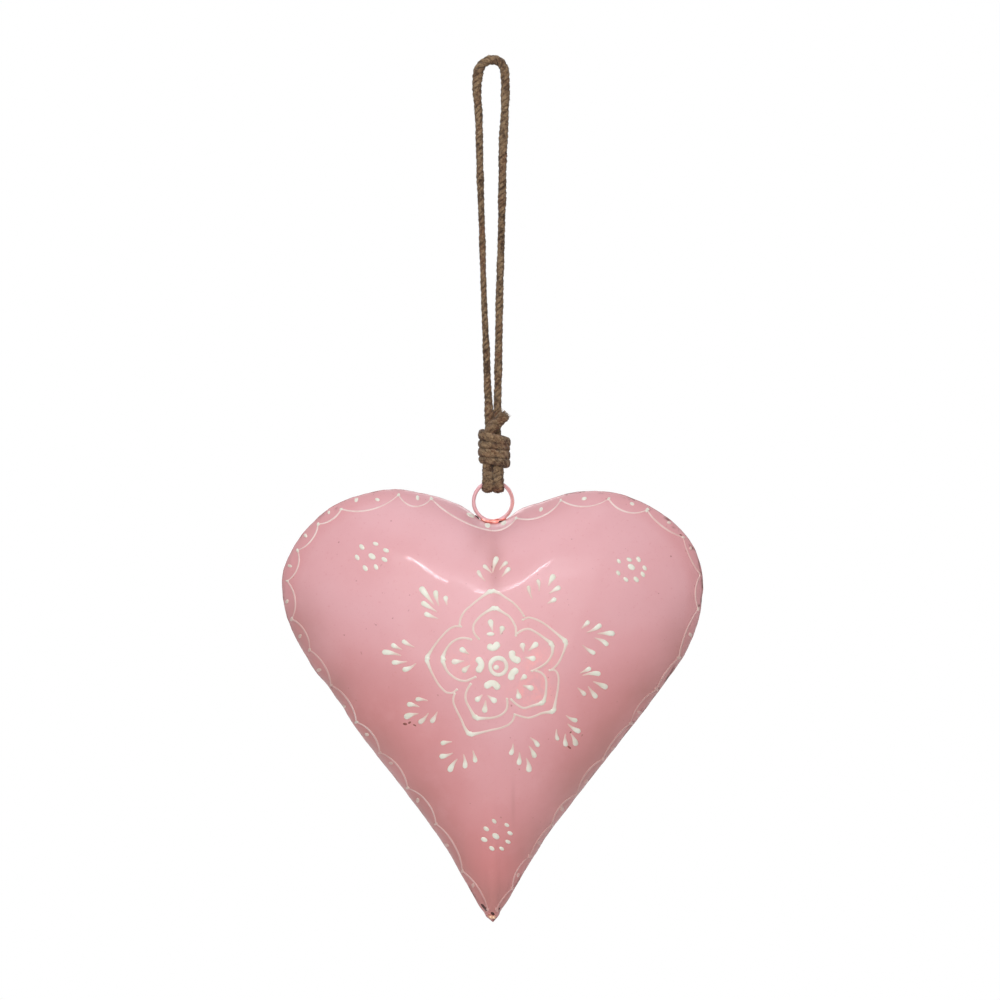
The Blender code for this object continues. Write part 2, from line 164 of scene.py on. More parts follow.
# Hanging ring
RING_MEAN_RADIUS = 7.4 * MM
RING_WIRE_RADIUS = 0.725 * MM
RING_CENTRE_Z = -166.521 * MM
RING_AXIS_Z = -159.425 * MM
RING_STEPS = 160
RING_WIRE_SIDES = 28
RING_WOBBLE = 0.06 * MM
RING_WOBBLES = (2, 3, 5)
RING_UNEVENNESS = 0.05
RING_LUMPS = (7, 11, 19)
LAP_MIDDLE = 0.25
LAP_START = 0.3
LAP_ANGLE = 0.2
LAP_SHARPNESS = 9.0
# how dark the painted shade in the lap's crease is
LAP_GRIME = 8.0

# Brazing metal along the ring's foot
BRAZE_START_DEG = -129.0
BRAZE_END_DEG = -50.0
BRAZE_REACH = 7.85 * MM
BRAZE_HALF_HEIGHT = 1.05 * MM
BRAZE_HALF_DEPTH = 1.3 * MM
BRAZE_STEPS = 44
BRAZE_SIDES = 20
BRAZE_END_FULLNESS = 0.06
BRAZE_END_POWER = 0.45
BRAZE_LUMPS = ((0.1, 9.0), (0.07, 23.0))
BRAZE_RIPPLE = 0.07
BRAZE_RIPPLE_SIDES = 3.0
BRAZE_RIPPLE_TURN = 14.0
BRAZE_GAP_Y = -1.28 * MM
LENS_RINGS = 7
LENS_SIDES = 14
LENS_BLUNTNESS = 0.15
LENS_DEPTH = 0.12 * MM
# openings in the braze, drawn dark as painted shade
BRAZE_GAPS = (
    # x, z, half length and half height in mm, and turn in degrees
    (2.7, -174.25, 1.4, 0.42, 8.0), (-6.0, -172.45, 1.1, 0.3, -42.0),
)

# Heart outline, half of it, measured from the notch as in the CAD
NOTCH_Z = -176.446 * MM
NOTCH_SLOPE_DEG = 28.0
NOTCH_HANDLE = 5.0 * MM
LOBE_X = 37.0 * MM
LOBE_RISE = 14.5 * MM
LOBE_INNER_HANDLE = 12.0 * MM
LOBE_OUTER_HANDLE = 15.0 * MM
HALF_WIDTH = 80.0 * MM
WIDEST_DROP = 23.7 * MM
SIDE_UPPER_HANDLE = 26.0 * MM
SIDE_LOWER_HANDLE = 32.0 * MM
TIP_DROP = 149.6 * MM
TIP_HALF_ANGLE_DEG = 26.0
TIP_HANDLE = 58.0 * MM
TIP_BLUNT_HALF_WIDTH = 2.5 * MM
TIP_BLUNT_RISE = 1.6 * MM
NOTCH_TO_LOBE_POINTS = 44
LOBE_TO_SIDE_POINTS = 56
SIDE_TO_TIP_POINTS = 100
RIM_WAVE_HEIGHT = 0.12 * MM
RIM_WAVE_COUNTS = (23, 41, 67, 97)
NOTCH_ROUNDING_REACH = 6.0 * MM
NOTCH_ROUNDING_ROUNDS = 60
EDGE_BULGES = (
    # x and z of a place on the edge, how far the bulge reaches and how high it stands, in mm
    (0.0, -176.5, 3.5, 0.45), (-11.5, -168.5, 6.0, 1.5), (-20.0, -165.6, 6.0, 1.0),
    (11.5, -170.0, 6.0, 1.1), (36.5, -162.0, 8.0, -0.7), (74.0, -181.5, 11.0, 0.5),
    (72.0, -223.5, 11.0, 0.7), (22.0, -292.0, 8.0, -0.4), (-9.5, -312.0, 11.0, 0.7),
    (-60.5, -243.5, 12.0, -0.6), (-64.0, -237.5, 5.0, -0.9), (-73.0, -225.0, 9.0, -0.5),
    (-79.0, -194.0, 5.0, 0.6), (-59.0, -170.0, 10.0, 0.7), (80.0, -204.5, 3.5, -0.4),
    (3.6, -322.0, 4.0, -1.1), (-5.5, -320.5, 4.0, 0.4), (-0.6, -326.0, 2.2, 0.7),
    (-58.0, -244.0, 4.5, -0.7), (-4.6, -324.0, 2.4, -0.55), (3.4, -320.6, 3.2, 0.6),
)

# Domes
DOME_DEPTH = 26.0 * MM
DOME_CENTRE_Z = NOTCH_Z - 47.0 * MM
DOME_CROWN_RADIUS = 62.0 * MM
DOME_SHOULDER = 2.3
DOME_RIM_POWER = 0.72
DOME_CONTOUR_POWER = 0.8
DOME_SOFT_POWER = 3.0
BLUR_ANGLE = math.radians(16.0)
BLUR_WIDEST = math.radians(36.0)
BLUR_SAMPLES = 25
DOME_RINGS = 64
DOME_INNER_RINGS = 8
DOME_RING_CROWDING = 1.7
SHEET_THICKNESS = 0.7 * MM
RIM_HALF_GAP = 0.8 * MM
DENT_WAVES = 14
DENT_POWER = 4
DENT_HEIGHT = 0.05 * MM
DENT_SHORTEST = 16.0 * MM
DENT_LONGEST = 60.0 * MM
SHARE_ROUNDS = 30
WIDEST_SHARE = 0.992
SLOPE_STEP = 0.05 * MM

# Weld bead along the seam
BEAD_HALF_WIDTH = 1.0 * MM
BEAD_REACH_IN = 1.0 * MM
BEAD_REACH_OUT = 0.12 * MM
BEAD_SIDES = 12
BEAD_STEP = 0.5 * MM
BEAD_RIPPLE = 0.18
BEAD_RIPPLES = (61, 131, 211, 307)
BEAD_DRIFT = 0.12 * MM
BEAD_DRIFTS = (9, 17, 31)
# dirt and painted shade along the seam's edge, in patches
BEAD_GRIME = 0.5
BEAD_GRIME_PATCHES = (31, 57, 113, 190)

# Raised cream paint
PAINT_HEIGHT = 0.34 * MM
BORDER_DOT_HEIGHT = 0.26 * MM
SCALLOP_HEIGHT = 0.16 * MM
PAINT_ROOT = 0.15 * MM
ROOT_INSET = 0.9
PAINT_EDGE_SINK = 0.02 * MM
PAINT_BULGE_POWER = 0.8
PAINT_ACROSS = 9
PAINT_STEP_PX = 0.7
STROKE_STEPS = 8
COARSE_STEPS = 4
STROKE_LEAST_RINGS = 6
STROKE_LEAST_FULLNESS = 0.35
LEAST_REACH = 1e-6
END_FLOOR = 0.004
# where a drop bends, and its half width at its fat end and at the bends
DROP_BEND_SHARES = (0.3, 0.65)
DROP_SHARES = (1.06, 1.0, 0.5)
TAIL_HALF_WIDTH = 0.5
SPRAY_BEND = 0.08
CHIP_HEIGHT = 0.03 * MM
TIP_METAL_HEIGHT = 1.0 * MM
SCALLOP_POINTS = 9
SCALLOP_ROUNDNESS = 2.2
SCALLOP_SWELL = 0.2
SCALLOP_SHIFT = 0.9
SCALLOP_THINS = (0.5, 0.64)
DOT_RINGS = 5
FAT_END_REACH = 0.85
THIN_HALF_WIDTH = 0.4
FULL_HALF_WIDTH = 2.2
THIN_RUB = 0.8
CUSP_THINNESS = 0.4
PETAL_SWELL_POWER = 8.0
PETAL_LINE_POINTS = 9
TIP_SPOT_INSET = 1.2
TIP_TAIL_INSET = 1.7 * TIP_SPOT_INSET
TIP_SPOT_HEIGHT = 1.1 * PAINT_HEIGHT
TIP_SPOT_SHARE = 0.9
TIP_TAIL_SHARES = (0.75, 0.65)
PETAL_STEPS = 6
CUSP_SHARES = (0.52, 0.44)
CUSP_HEIGHT = 0.6 * PAINT_HEIGHT
CUSP_TURN_DEG = 30.0
OUTER_PETAL_SIZES = (1.05, 2.6, 2.6)
INNER_PETAL_SIZES = (1.15, 2.7, 2.7)
PETAL_DROP_HALF_WIDTH = 2.8
SMALL_HEART_HALF_WIDTHS = (3.6, 3.2, 3.7)
DOT_SIDES = 18


def srgb(red, green, blue):
    """A linear colour with full alpha from display values of 0 to 255."""
    linear = []
    for value in (red, green, blue):
        level = value / 255.0
        linear.append(level / 12.92 if level <= 0.04045 else ((level + 0.055) / 1.055) ** 2.4)
    return (*linear, 1.0)


PINK = srgb(216, 140, 138)
PINK_DEEP = srgb(209, 129, 126)
PINK_PALE = srgb(221, 151, 150)
# paler, cooler pink painted where light from above would shine: painted sheen, not the paint's own
# colour
PINK_FADED = srgb(225, 168, 171)
# darker, dirtier pink: for real stains, and for painted shade along the lower rims, the seam and the
# ring's crease
DIRTY_PINK = srgb(178, 116, 108)
# brighter pink painted where the lamps shine on the petals and the ring: painted sheen
PINK_FRESH = srgb(248, 170, 164)
# the weld run's darker pink: partly painted shade along the seam's edge
SEAM_PINK = srgb(178, 118, 114)
# the weld run's paler pink for the same painted sheen from above
SEAM_FADED = srgb(180, 126, 124)
CREAM = srgb(233, 230, 214)
CREAM_DEEP = srgb(218, 213, 192)
CREAM_THIN = srgb(238, 214, 206)
CREAM_FAINT = srgb(226, 188, 180)
# cream painted darker where it crosses the painted shade of the lower rims
CREAM_DIRTY = srgb(194, 141, 132)
CREAM_RUBBED = srgb(218, 164, 157)
BARE_IRON = srgb(92, 52, 42)
RUST = srgb(158, 92, 82)
# painted shade for the openings in the joint
SOOT = srgb(38, 18, 14)
SOOT_PALE = srgb(84, 44, 36)
WELD_PALE = srgb(222, 184, 152)
WELD_DARK = srgb(196, 132, 112)
SALMON = srgb(226, 112, 98)
SALMON_PALE = srgb(232, 160, 146)
JUTE = srgb(127, 98, 71)
JUTE_DARK = srgb(60, 37, 23)
JUTE_PALE = srgb(184, 154, 118)
JUTE_WARM = srgb(128, 80, 54)


def draws(stream):
    """Random draws from a stream of its own, the same in each run."""
    return np.random.default_rng(SEED + stream)


# Meshes


def linked(name, data):
    """A new object for some data, put in the scene."""
    thing = bpy.data.objects.new(name, data)
    bpy.context.scene.collection.objects.link(thing)
    return thing


def mesh_piece(name, vertices, faces, material):
    """An object in world coordinates from vertices and faces, smooth and facing outwards."""
    mesh = bpy.data.meshes.new(name)
    mesh.from_pydata([tuple(v) for v in vertices], [], faces)
    bm = bmesh.new()
    bm.from_mesh(mesh)
    bmesh.ops.recalc_face_normals(bm, faces=bm.faces)
    bm.to_mesh(mesh)
    bm.free()
    mesh.shade_smooth()
    mesh.materials.append(material)
    return linked(name, mesh)


def merge(parts):
    """Vertices and faces of several parts as one list each."""
    vertices = []
    faces = []
    for part_vertices, part_faces, *_ in parts:
        base = len(vertices)
        vertices.extend(part_vertices)
        faces.extend([tuple(base + corner for corner in face) for face in part_faces])
    return vertices, faces


def grid_faces(rings, sides, looped=False, capped=True):
    """Quads between rings of the same size, looped or with a flat cap at each end."""
    faces = []
    for ring in range(rings if looped else rings - 1):
        here = ring * sides
        there = ((ring + 1) % rings) * sides
        for side in range(sides):
            after = (side + 1) % sides
            faces.append((here + side, here + after, there + after, there + side))
    if capped and not looped:
        faces.append(tuple(range(sides)))
        faces.append(tuple((rings - 1) * sides + side for side in range(sides)))
    return faces


def tube(rings, sides, place_of, **joining):
    """Rings of points, each placed by its ring's number and its angle, and their faces."""
    angles = [2.0 * math.pi * side / sides for side in range(sides)]
    vertices = [place_of(ring, angle) for ring in range(rings) for angle in angles]
    return vertices, grid_faces(rings, sides, **joining)


def turned(u, v, turn_deg, centre):
    """A flat offset turned by an angle, from a centre."""
    turn = math.radians(turn_deg)
    return (
        centre[0] + u * math.cos(turn) - v * math.sin(turn),
        centre[1] + u * math.sin(turn) + v * math.cos(turn),
    )


def unit(vectors):
    """Vectors scaled to length one, row by row."""
    return vectors / np.linalg.norm(vectors, axis=-1, keepdims=True)


def bezier(start, start_handle, end_handle, end, count):
    """Points along a cubic curve, from its start up to but without its end."""
    t = np.arange(count)[:, None] / count
    u = 1.0 - t
    return u**3 * start + 3.0 * u**2 * t * start_handle + 3.0 * u * t**2 * end_handle + t**3 * end


def smooth_route(points, steps):
    """A smooth curve through points, with a number of steps from each to the next."""
    points = np.asarray(points, float)
    spans = np.diff(points, axis=0)
    lengths = np.linalg.norm(spans, axis=1)
    ways = spans / lengths[:, None]
    tangents = [ways[0]]
    for i in range(1, len(points) - 1):
        tangents.append(unit(ways[i - 1] * lengths[i] + ways[i] * lengths[i - 1]))
    tangents.append(ways[-1])
    route = []
    for i, length in enumerate(lengths):
        start_handle = points[i] + tangents[i] * length / 3.0
        end_handle = points[i + 1] - tangents[i + 1] * length / 3.0
        route.extend(bezier(points[i], start_handle, end_handle, points[i + 1], steps))
    route.append(points[-1])
    return np.array(route)


def distances_along(points):
    """How far along the line each point lies."""
    return np.concatenate([[0.0], np.cumsum(np.linalg.norm(np.diff(points, axis=0), axis=1))])


def at_distances(points, along, wanted):
    """The line's points at wanted distances along it."""
    return np.stack([np.interp(wanted, along, axis) for axis in points.T], axis=1)


def resample(points, spacing):
    """The line's points at an even spacing."""
    along = distances_along(points)
    count = max(2, round(along[-1] / spacing) + 1)
    return at_distances(points, along, np.linspace(0.0, along[-1], count))


def waves(along, counts, rng):
    """A sum of sines along a line whose share runs from 0 to 1, between about -1 and 1."""
    total = np.zeros_like(along)
    for count in counts:
        total += np.sin(2.0 * math.pi * (count * along + rng.random()))
    return total / len(counts)


# The heart's surface


def heart_edge():
    """The heart's edge as rows of (x, z), clockwise from the notch as seen from the front."""
    notch_slope = math.radians(NOTCH_SLOPE_DEG)
    tip_slope = math.radians(TIP_HALF_ANGLE_DEG)
    notch = np.array((0.0, NOTCH_Z))
    lobe = np.array((LOBE_X, NOTCH_Z + LOBE_RISE))
    side = np.array((HALF_WIDTH, NOTCH_Z - WIDEST_DROP))
    tip = np.array((0.0, NOTCH_Z - TIP_DROP))
    corner = tip + np.array((TIP_BLUNT_HALF_WIDTH, TIP_BLUNT_RISE))
    from_notch = NOTCH_HANDLE * np.array((math.cos(notch_slope), math.sin(notch_slope)))
    from_tip = TIP_HANDLE * np.array((math.sin(tip_slope), math.cos(tip_slope)))
    across = np.array((1.0, 0.0))
    up = np.array((0.0, 1.0))
    over_side = side + SIDE_UPPER_HANDLE * up
    spans = (
        (notch, notch + from_notch, lobe - LOBE_INNER_HANDLE * across, lobe, NOTCH_TO_LOBE_POINTS),
        (lobe, lobe + LOBE_OUTER_HANDLE * across, over_side, side, LOBE_TO_SIDE_POINTS),
        (side, side - SIDE_LOWER_HANDLE * up, corner + from_tip, corner, SIDE_TO_TIP_POINTS),
    )
    right = np.concatenate([bezier(*span) for span in spans] + [[corner]])
    left = right[:0:-1] * np.array((-1.0, 1.0))
    return np.concatenate([right, [tip], left])


def outward_ways(edge):
    """The outward direction at each point of a closed outline."""
    along = np.roll(edge, -1, axis=0) - np.roll(edge, 1, axis=0)
    return unit(np.stack([-along[:, 1], along[:, 0]], axis=1))


def eased(points, rounds):
    """A line with its corners rounded, and its ends kept."""
    points = np.array(points)
    for _ in range(rounds):
        points[1:-1] = 0.25 * points[:-2] + 0.5 * points[1:-1] + 0.25 * points[2:]
    return points


def hammered(edge):
    """The outline as made by hand: rounded in the notch, uneven, and with small waves."""
    rng = draws(EDGE_STREAM)
    half = len(edge) // 2
    soft = np.roll(eased(np.roll(edge, half, axis=0), NOTCH_ROUNDING_ROUNDS), -half, axis=0)
    near_notch = np.hypot(edge[:, 0], edge[:, 1] - NOTCH_Z) / NOTCH_ROUNDING_REACH
    share_soft = np.exp(-(near_notch**2))[:, None]
    edge = edge * (1.0 - share_soft) + soft * share_soft
    share = np.arange(len(edge)) / len(edge)
    lift = RIM_WAVE_HEIGHT * waves(share, RIM_WAVE_COUNTS, rng)
    for x, z, reach, height in EDGE_BULGES:
        away = np.hypot(edge[:, 0] - x * MM, edge[:, 1] - z * MM) / (reach * MM)
        lift += height * MM * np.exp(-(away**2))
    return edge + outward_ways(edge) * lift[:, None]


EDGE = hammered(heart_edge())
EDGE_RAYS = EDGE - np.array((0.0, DOME_CENTRE_Z))
EDGE_REACHES = np.linalg.norm(EDGE_RAYS, axis=1)
EDGE_ANGLES = np.arctan2(EDGE_RAYS[:, 0], EDGE_RAYS[:, 1])


def blurred_reaches():
    """The edge's reach at each of its angles, with the notch and the tip blurred."""
    offsets = np.linspace(-BLUR_WIDEST, BLUR_WIDEST, BLUR_SAMPLES)
    weights = np.exp(-((offsets / BLUR_ANGLE) ** 2))
    total = np.zeros(len(EDGE_ANGLES))
    for offset, weight in zip(offsets, weights):
        shifted = EDGE_ANGLES + offset
        total += weight * np.interp(shifted, EDGE_ANGLES, EDGE_REACHES, period=2.0 * math.pi)
    return total / weights.sum()


SOFT_REACHES = blurred_reaches()


def reaches_at(angle):
    """The edge's reach and its blurred reach at angles round the dome's centre."""
    sharp = np.interp(angle, EDGE_ANGLES, EDGE_REACHES, period=2.0 * math.pi)
    soft = np.interp(angle, EDGE_ANGLES, SOFT_REACHES, period=2.0 * math.pi)
    return sharp, soft


def make_dents():
    """Long shallow waves in the sheet: a direction, a phase and a height for each."""
    rng = draws(DENT_STREAM)
    dents = []
    for _ in range(DENT_WAVES):
        way = rng.random() * 2.0 * math.pi
        length = rng.uniform(DENT_SHORTEST, DENT_LONGEST)
        turn = 2.0 * math.pi / length
        dents.append((turn * math.cos(way), turn * math.sin(way), rng.random() * 2.0 * math.pi))
    return dents


DENTS = make_dents()


def dent_at(x, z):
    """How far the sheet stands out or in from the smooth dome."""
    total = np.zeros_like(x)
    for turn_x, turn_z, phase in DENTS:
        total += np.sin(turn_x * x + turn_z * z + phase)
    return DENT_HEIGHT * total


def dome_height(share, depth):
    """Height above the rim's plane at a share of the way from the centre to the rim."""
    return RIM_HALF_GAP + depth * (1.0 - share**DOME_SHOULDER) ** DOME_RIM_POWER


def dome_reach(share, sharp, soft):
    """Distance from the centre at a share of the way: rounder near the crown than at the rim."""
    likeness = share**DOME_CONTOUR_POWER
    edge_reach = soft + (sharp - soft) * share**DOME_SOFT_POWER
    return share * ((1.0 - likeness) * DOME_CROWN_RADIUS + likeness * edge_reach)


def share_at(x, z):
    """The share of the way from the dome's centre to its rim at points of the front."""
    flat = np.hypot(x, z - DOME_CENTRE_Z)
    angle = np.arctan2(x, z - DOME_CENTRE_Z)
    sharp, soft = reaches_at(angle)
    low = np.zeros_like(flat)
    high = np.full_like(flat, WIDEST_SHARE)
    for _ in range(SHARE_ROUNDS):
        middle = 0.5 * (low + high)
        inside = dome_reach(middle, sharp, soft) < flat
        low = np.where(inside, middle, low)
        high = np.where(inside, high, middle)
    return 0.5 * (low + high)


def front_height(x, z):
    """How far the front stands out of the seam's plane."""
    share = share_at(x, z)
    return dome_height(share, DOME_DEPTH) + dent_at(x, z) * (1.0 - share**DENT_POWER)


def front_normals(x, z):
    """The front's outward direction at each point."""
    slope_x = front_height(x + SLOPE_STEP, z) - front_height(x - SLOPE_STEP, z)
    slope_z = front_height(x, z + SLOPE_STEP) - front_height(x, z - SLOPE_STEP)
    level = np.full_like(x, -2.0 * SLOPE_STEP)
    return unit(np.stack([-slope_x, level, -slope_z], axis=-1))


def pulled_inside(x, z):
    """Points that would miss the heart, moved straight towards its centre onto its shoulder."""
    angle = np.arctan2(x, z - DOME_CENTRE_Z)
    most = dome_reach(np.full_like(x, WIDEST_SHARE), *reaches_at(angle))
    shrink = np.minimum(1.0, most / np.maximum(np.hypot(x, z - DOME_CENTRE_Z), MM))
    return x * shrink, DOME_CENTRE_Z + (z - DOME_CENTRE_Z) * shrink


def sight_to_heart(pixels):
    """Where the sight line through each pixel meets the painted front, as x and z."""
    pixels = np.asarray(pixels, float)
    height = np.zeros(len(pixels))
    for _ in range(SIGHT_ROUNDS):
        away = CAMERA_DISTANCE - height
        x = CAMERA_X + (pixels[:, 0] - PICTURE_CENTRE) * PIXEL_SLOPE * away
        z = CAMERA_Z - (pixels[:, 1] - PICTURE_CENTRE) * PIXEL_SLOPE * away
        x, z = pulled_inside(x, z)
        height = front_height(x, z)
    return x, z


def raised(pixels, lift):
    """World points that stand off the painted front by a lift, or in it where that is negative."""
    x, z = sight_to_heart(pixels)
    surface = np.stack([x, -front_height(x, z), z], axis=-1)
    return surface + front_normals(x, z) * np.asarray(lift)[:, None]


def dome_rows(edge, depth, side, rings, dented):
    """Rows of points of one face of a shell, from near its crown to its rim."""
    rays = edge - np.array((0.0, DOME_CENTRE_Z))
    reaches = np.linalg.norm(rays, axis=1)
    ways = rays / reaches[:, None]
    soft = reaches_at(np.arctan2(rays[:, 0], rays[:, 1]))[1]
    rows = []
    for ring in range(1, rings + 1):
        share = 1.0 - (1.0 - ring / rings) ** DOME_RING_CROWDING
        reach = dome_reach(share, reaches, soft)
        x = ways[:, 0] * reach
        z = DOME_CENTRE_Z + ways[:, 1] * reach
        height = np.full_like(x, dome_height(share, depth))
        if dented:
            height += dent_at(x, z * side) * (1.0 - share**DENT_POWER)
        rows.append(np.stack([x, -side * height, z], axis=1))
    return rows


def shell_shape(side):
    """A pressed half of the heart. The side is 1 for the front and -1 for the back."""
    outer = dome_rows(EDGE, DOME_DEPTH, side, DOME_RINGS, True)
    inner_edge = EDGE - outward_ways(EDGE) * SHEET_THICKNESS
    inner_depth = DOME_DEPTH - SHEET_THICKNESS
    inner = dome_rows(inner_edge, inner_depth, side, DOME_INNER_RINGS, False)
    rows = outer + inner[::-1]
    sides = len(EDGE)
    faces = grid_faces(len(rows), sides, capped=False)
    vertices = list(np.concatenate(rows))
    dent = float(dent_at(np.zeros(1), np.array([DOME_CENTRE_Z * side]))[0])
    crown = dome_height(0.0, DOME_DEPTH) + dent
    inner_crown = dome_height(0.0, inner_depth)
    for height, first in ((crown, 0), (inner_crown, (len(rows) - 1) * sides)):
        hub = len(vertices)
        vertices.append(np.array((0.0, -side * height, DOME_CENTRE_Z)))
        faces += [(hub, first + i, first + (i + 1) % sides) for i in range(sides)]
    return vertices, faces


def bead_shape():
    """The weld run that fills the seam, with the ripples of a hand-laid bead."""
    rng = draws(BEAD_STREAM)
    edge = resample(np.concatenate([EDGE, EDGE[:1]]), BEAD_STEP)[:-1]
    outward = outward_ways(edge)
    share = np.arange(len(edge)) / len(edge)
    ripple = 1.0 + BEAD_RIPPLE * waves(share, BEAD_RIPPLES, rng)
    drift = BEAD_DRIFT * waves(share, BEAD_DRIFTS, rng)

    def place_of(ring, angle):
        reach = BEAD_REACH_OUT * ripple[ring] if math.cos(angle) > 0.0 else BEAD_REACH_IN
        flat = edge[ring] + outward[ring] * (reach * math.cos(angle))
        return flat[0], BEAD_HALF_WIDTH * ripple[ring] * math.sin(angle) + drift[ring], flat[1]

    return tube(len(edge), BEAD_SIDES, place_of, looped=True)


def bead_grime(count):
    """How much darker the weld run is at each of its rings, in patches along it: dirt and painted shade
    along the seam's edge.
    """
    rng = draws(GRIME_STREAM)
    share = np.arange(count) / count
    patches = BEAD_GRIME * (1.0 + waves(share, BEAD_GRIME_PATCHES, rng))
    return np.repeat(np.clip(patches, 0.0, 1.0), BEAD_SIDES)


# Raised paint


def rounded_ends(along, half_widths):
    """Half widths that close in a half circle at each end of a stroke."""
    reach = np.maximum(half_widths, LEAST_REACH)
    closed = half_widths
    for away in (along, along[-1] - along):
        gone = np.clip(1.0 - away / reach, 0.0, 1.0)
        closed = closed * np.sqrt(np.maximum(1.0 - gone**2, END_FLOOR))
    return closed


def stroke(points, half_widths, height=PAINT_HEIGHT, steps=STROKE_STEPS):
    """A raised line of paint through pixels, with its half width in pixels at each of them."""
    route = smooth_route(points, steps)
    knots = np.linspace(0.0, 1.0, len(points))
    body = np.interp(np.linspace(0.0, 1.0, len(route)), knots, half_widths)
    along = distances_along(route)
    count = max(STROKE_LEAST_RINGS, round(along[-1] / PAINT_STEP_PX))
    wanted = np.linspace(0.0, along[-1], count)
    route = at_distances(route, along, wanted)
    body = np.interp(wanted, along, body)
    thinness = np.clip((FULL_HALF_WIDTH - body) / (FULL_HALF_WIDTH - THIN_HALF_WIDTH), 0.0, 1.0)
    widths = rounded_ends(wanted, body)
    ways = unit(np.gradient(route, axis=0))
    across = np.stack([-ways[:, 1], ways[:, 0]], axis=1)
    fullness = np.clip(widths / max(half_widths), STROKE_LEAST_FULLNESS, 1.0)
    angles = [math.pi * j / (PAINT_ACROSS - 1) for j in range(PAINT_ACROSS)]
    offsets = [math.cos(angle) for angle in angles] + [-ROOT_INSET, ROOT_INSET]
    columns = [route + across * (widths * offset)[:, None] for offset in offsets]
    lifts = [height * fullness * math.sin(angle) ** PAINT_BULGE_POWER for angle in angles]
    lifts += [np.full(count, -PAINT_ROOT)] * 2
    lifts[0] = lifts[PAINT_ACROSS - 1] = np.full(count, -PAINT_EDGE_SINK)
    pixels = np.stack(columns, axis=1).reshape(-1, 2)
    lift = np.stack(lifts, axis=1).reshape(-1)
    sides = len(columns)
    return list(raised(pixels, lift)), grid_faces(count, sides), np.repeat(thinness, sides)


def dot(centre, half_length, half_width=None, turn_deg=0.0, height=PAINT_HEIGHT, thinness=0.0):
    """A raised round or oval spot of paint at a pixel."""
    half_width = half_width or half_length
    lifts = [height]

    def place_of(ring, angle):
        share = min(1.0, math.sin(0.5 * math.pi * (ring + 1) / DOT_RINGS))
        lifts.append(height * math.sqrt(1.0 - share**2) if ring < DOT_RINGS else -PAINT_ROOT)
        u = half_length * share * math.cos(angle)
        v = half_width * share * math.sin(angle)
        return turned(u, v, turn_deg, centre)

    rings, quads = tube(DOT_RINGS + 1, DOT_SIDES, place_of, capped=False)
    faces = [(0, 1 + side, 1 + (side + 1) % DOT_SIDES) for side in range(DOT_SIDES)]
    faces += [tuple(1 + corner for corner in face) for face in quads]
    faces.append(tuple(1 + DOT_RINGS * DOT_SIDES + side for side in range(DOT_SIDES)))
    return list(raised([centre] + rings, lifts)), faces, np.full(len(lifts), thinness)


def teardrop(fat, thin, half_width, bend=0.0):
    """A drop of paint pulled out to a thin tail."""
    thin = np.array(thin)
    fat = np.array(fat) - FAT_END_REACH * half_width * unit(thin - np.array(fat))
    way = thin - fat
    side = np.array((-way[1], way[0]))
    points = [fat, *[fat + share * way + bend * side for share in DROP_BEND_SHARES], thin]
    return stroke(points, [share * half_width for share in DROP_SHARES] + [TAIL_HALF_WIDTH])


OUTER_STROKES = (
    # from the cusp to the tip of a petal
    ((459.6, 624.6), (460.8, 617.8), (464.4, 611.6), (471.0, 605.5), (481.2, 597.3), (491.4, 590.2)),
    ((523.8, 615.8), (521.1, 611.4), (512.6, 602.3), (505.3, 597.4), (499.2, 593.2), (491.4, 590.2)),
    ((522.9, 619.8), (525.3, 618.0), (531.4, 618.0), (538.6, 620.5), (555.6, 632.6), (566.5, 641.7)),
    ((552.0, 669.6), (557.7, 663.9), (561.2, 657.6), (564.6, 648.9), (566.5, 641.7)),
    ((549.7, 670.2), (556.0, 670.8), (558.3, 675.9), (558.3, 684.5), (555.4, 702.3), (553.7, 711.9)),
    ((514.7, 714.4), (522.1, 716.7), (529.0, 717.8), (534.8, 716.1), (541.7, 713.2), (553.7, 711.9)),
    ((514.9, 714.6), (511.4, 722.4), (505.0, 726.4), (489.6, 730.4), (478.1, 733.2), (469.5, 735.0)),
    ((454.6, 693.6), (453.2, 699.4), (457.5, 712.0), (461.5, 720.0), (464.9, 728.1), (469.5, 735.0)),
    ((456.9, 689.6), (450.6, 693.3), (440.8, 687.3), (436.8, 681.6), (432.2, 673.5), (426.1, 658.6)),
    ((460.8, 626.4), (454.7, 626.4), (448.6, 629.5), (443.0, 635.1), (437.3, 641.7), (426.1, 658.6)),
)
INNER_STROKES = (
    ((478.8, 638.8), (474.4, 633.4), (473.2, 627.0), (475.6, 621.4), (482.4, 614.6), (495.0, 607.1)),
    ((515.9, 635.4), (515.6, 627.1), (513.8, 622.9), (508.9, 616.2), (502.3, 612.0), (495.0, 607.1)),
    ((517.4, 633.2), (522.3, 630.2), (528.3, 628.9), (534.4, 631.4), (541.7, 636.2), (552.4, 644.0)),
    ((531.9, 671.0), (537.6, 668.5), (543.4, 665.0), (548.0, 661.0), (552.4, 652.0), (552.4, 644.0)),
    ((535.9, 670.8), (541.7, 673.0), (545.1, 677.1), (546.2, 687.4), (544.5, 698.9), (543.0, 703.0)),
    ((511.2, 699.5), (514.1, 702.3), (518.7, 705.8), (524.4, 708.1), (530.2, 706.4), (543.0, 703.0)),
    ((507.0, 698.9), (507.0, 708.0), (502.8, 713.7), (497.1, 716.6), (483.9, 718.3), (475.3, 718.3)),
    ((470.7, 683.9), (467.2, 689.6), (465.5, 695.9), (466.1, 701.1), (469.0, 706.8), (475.3, 718.3)),
    ((475.3, 677.0), (464.4, 681.0), (458.6, 679.9), (453.5, 677.0), (448.3, 672.4), (442.0, 659.2)),
    ((471.0, 639.4), (465.4, 638.0), (459.6, 638.4), (453.6, 641.0), (446.8, 648.2), (442.0, 659.2)),
)
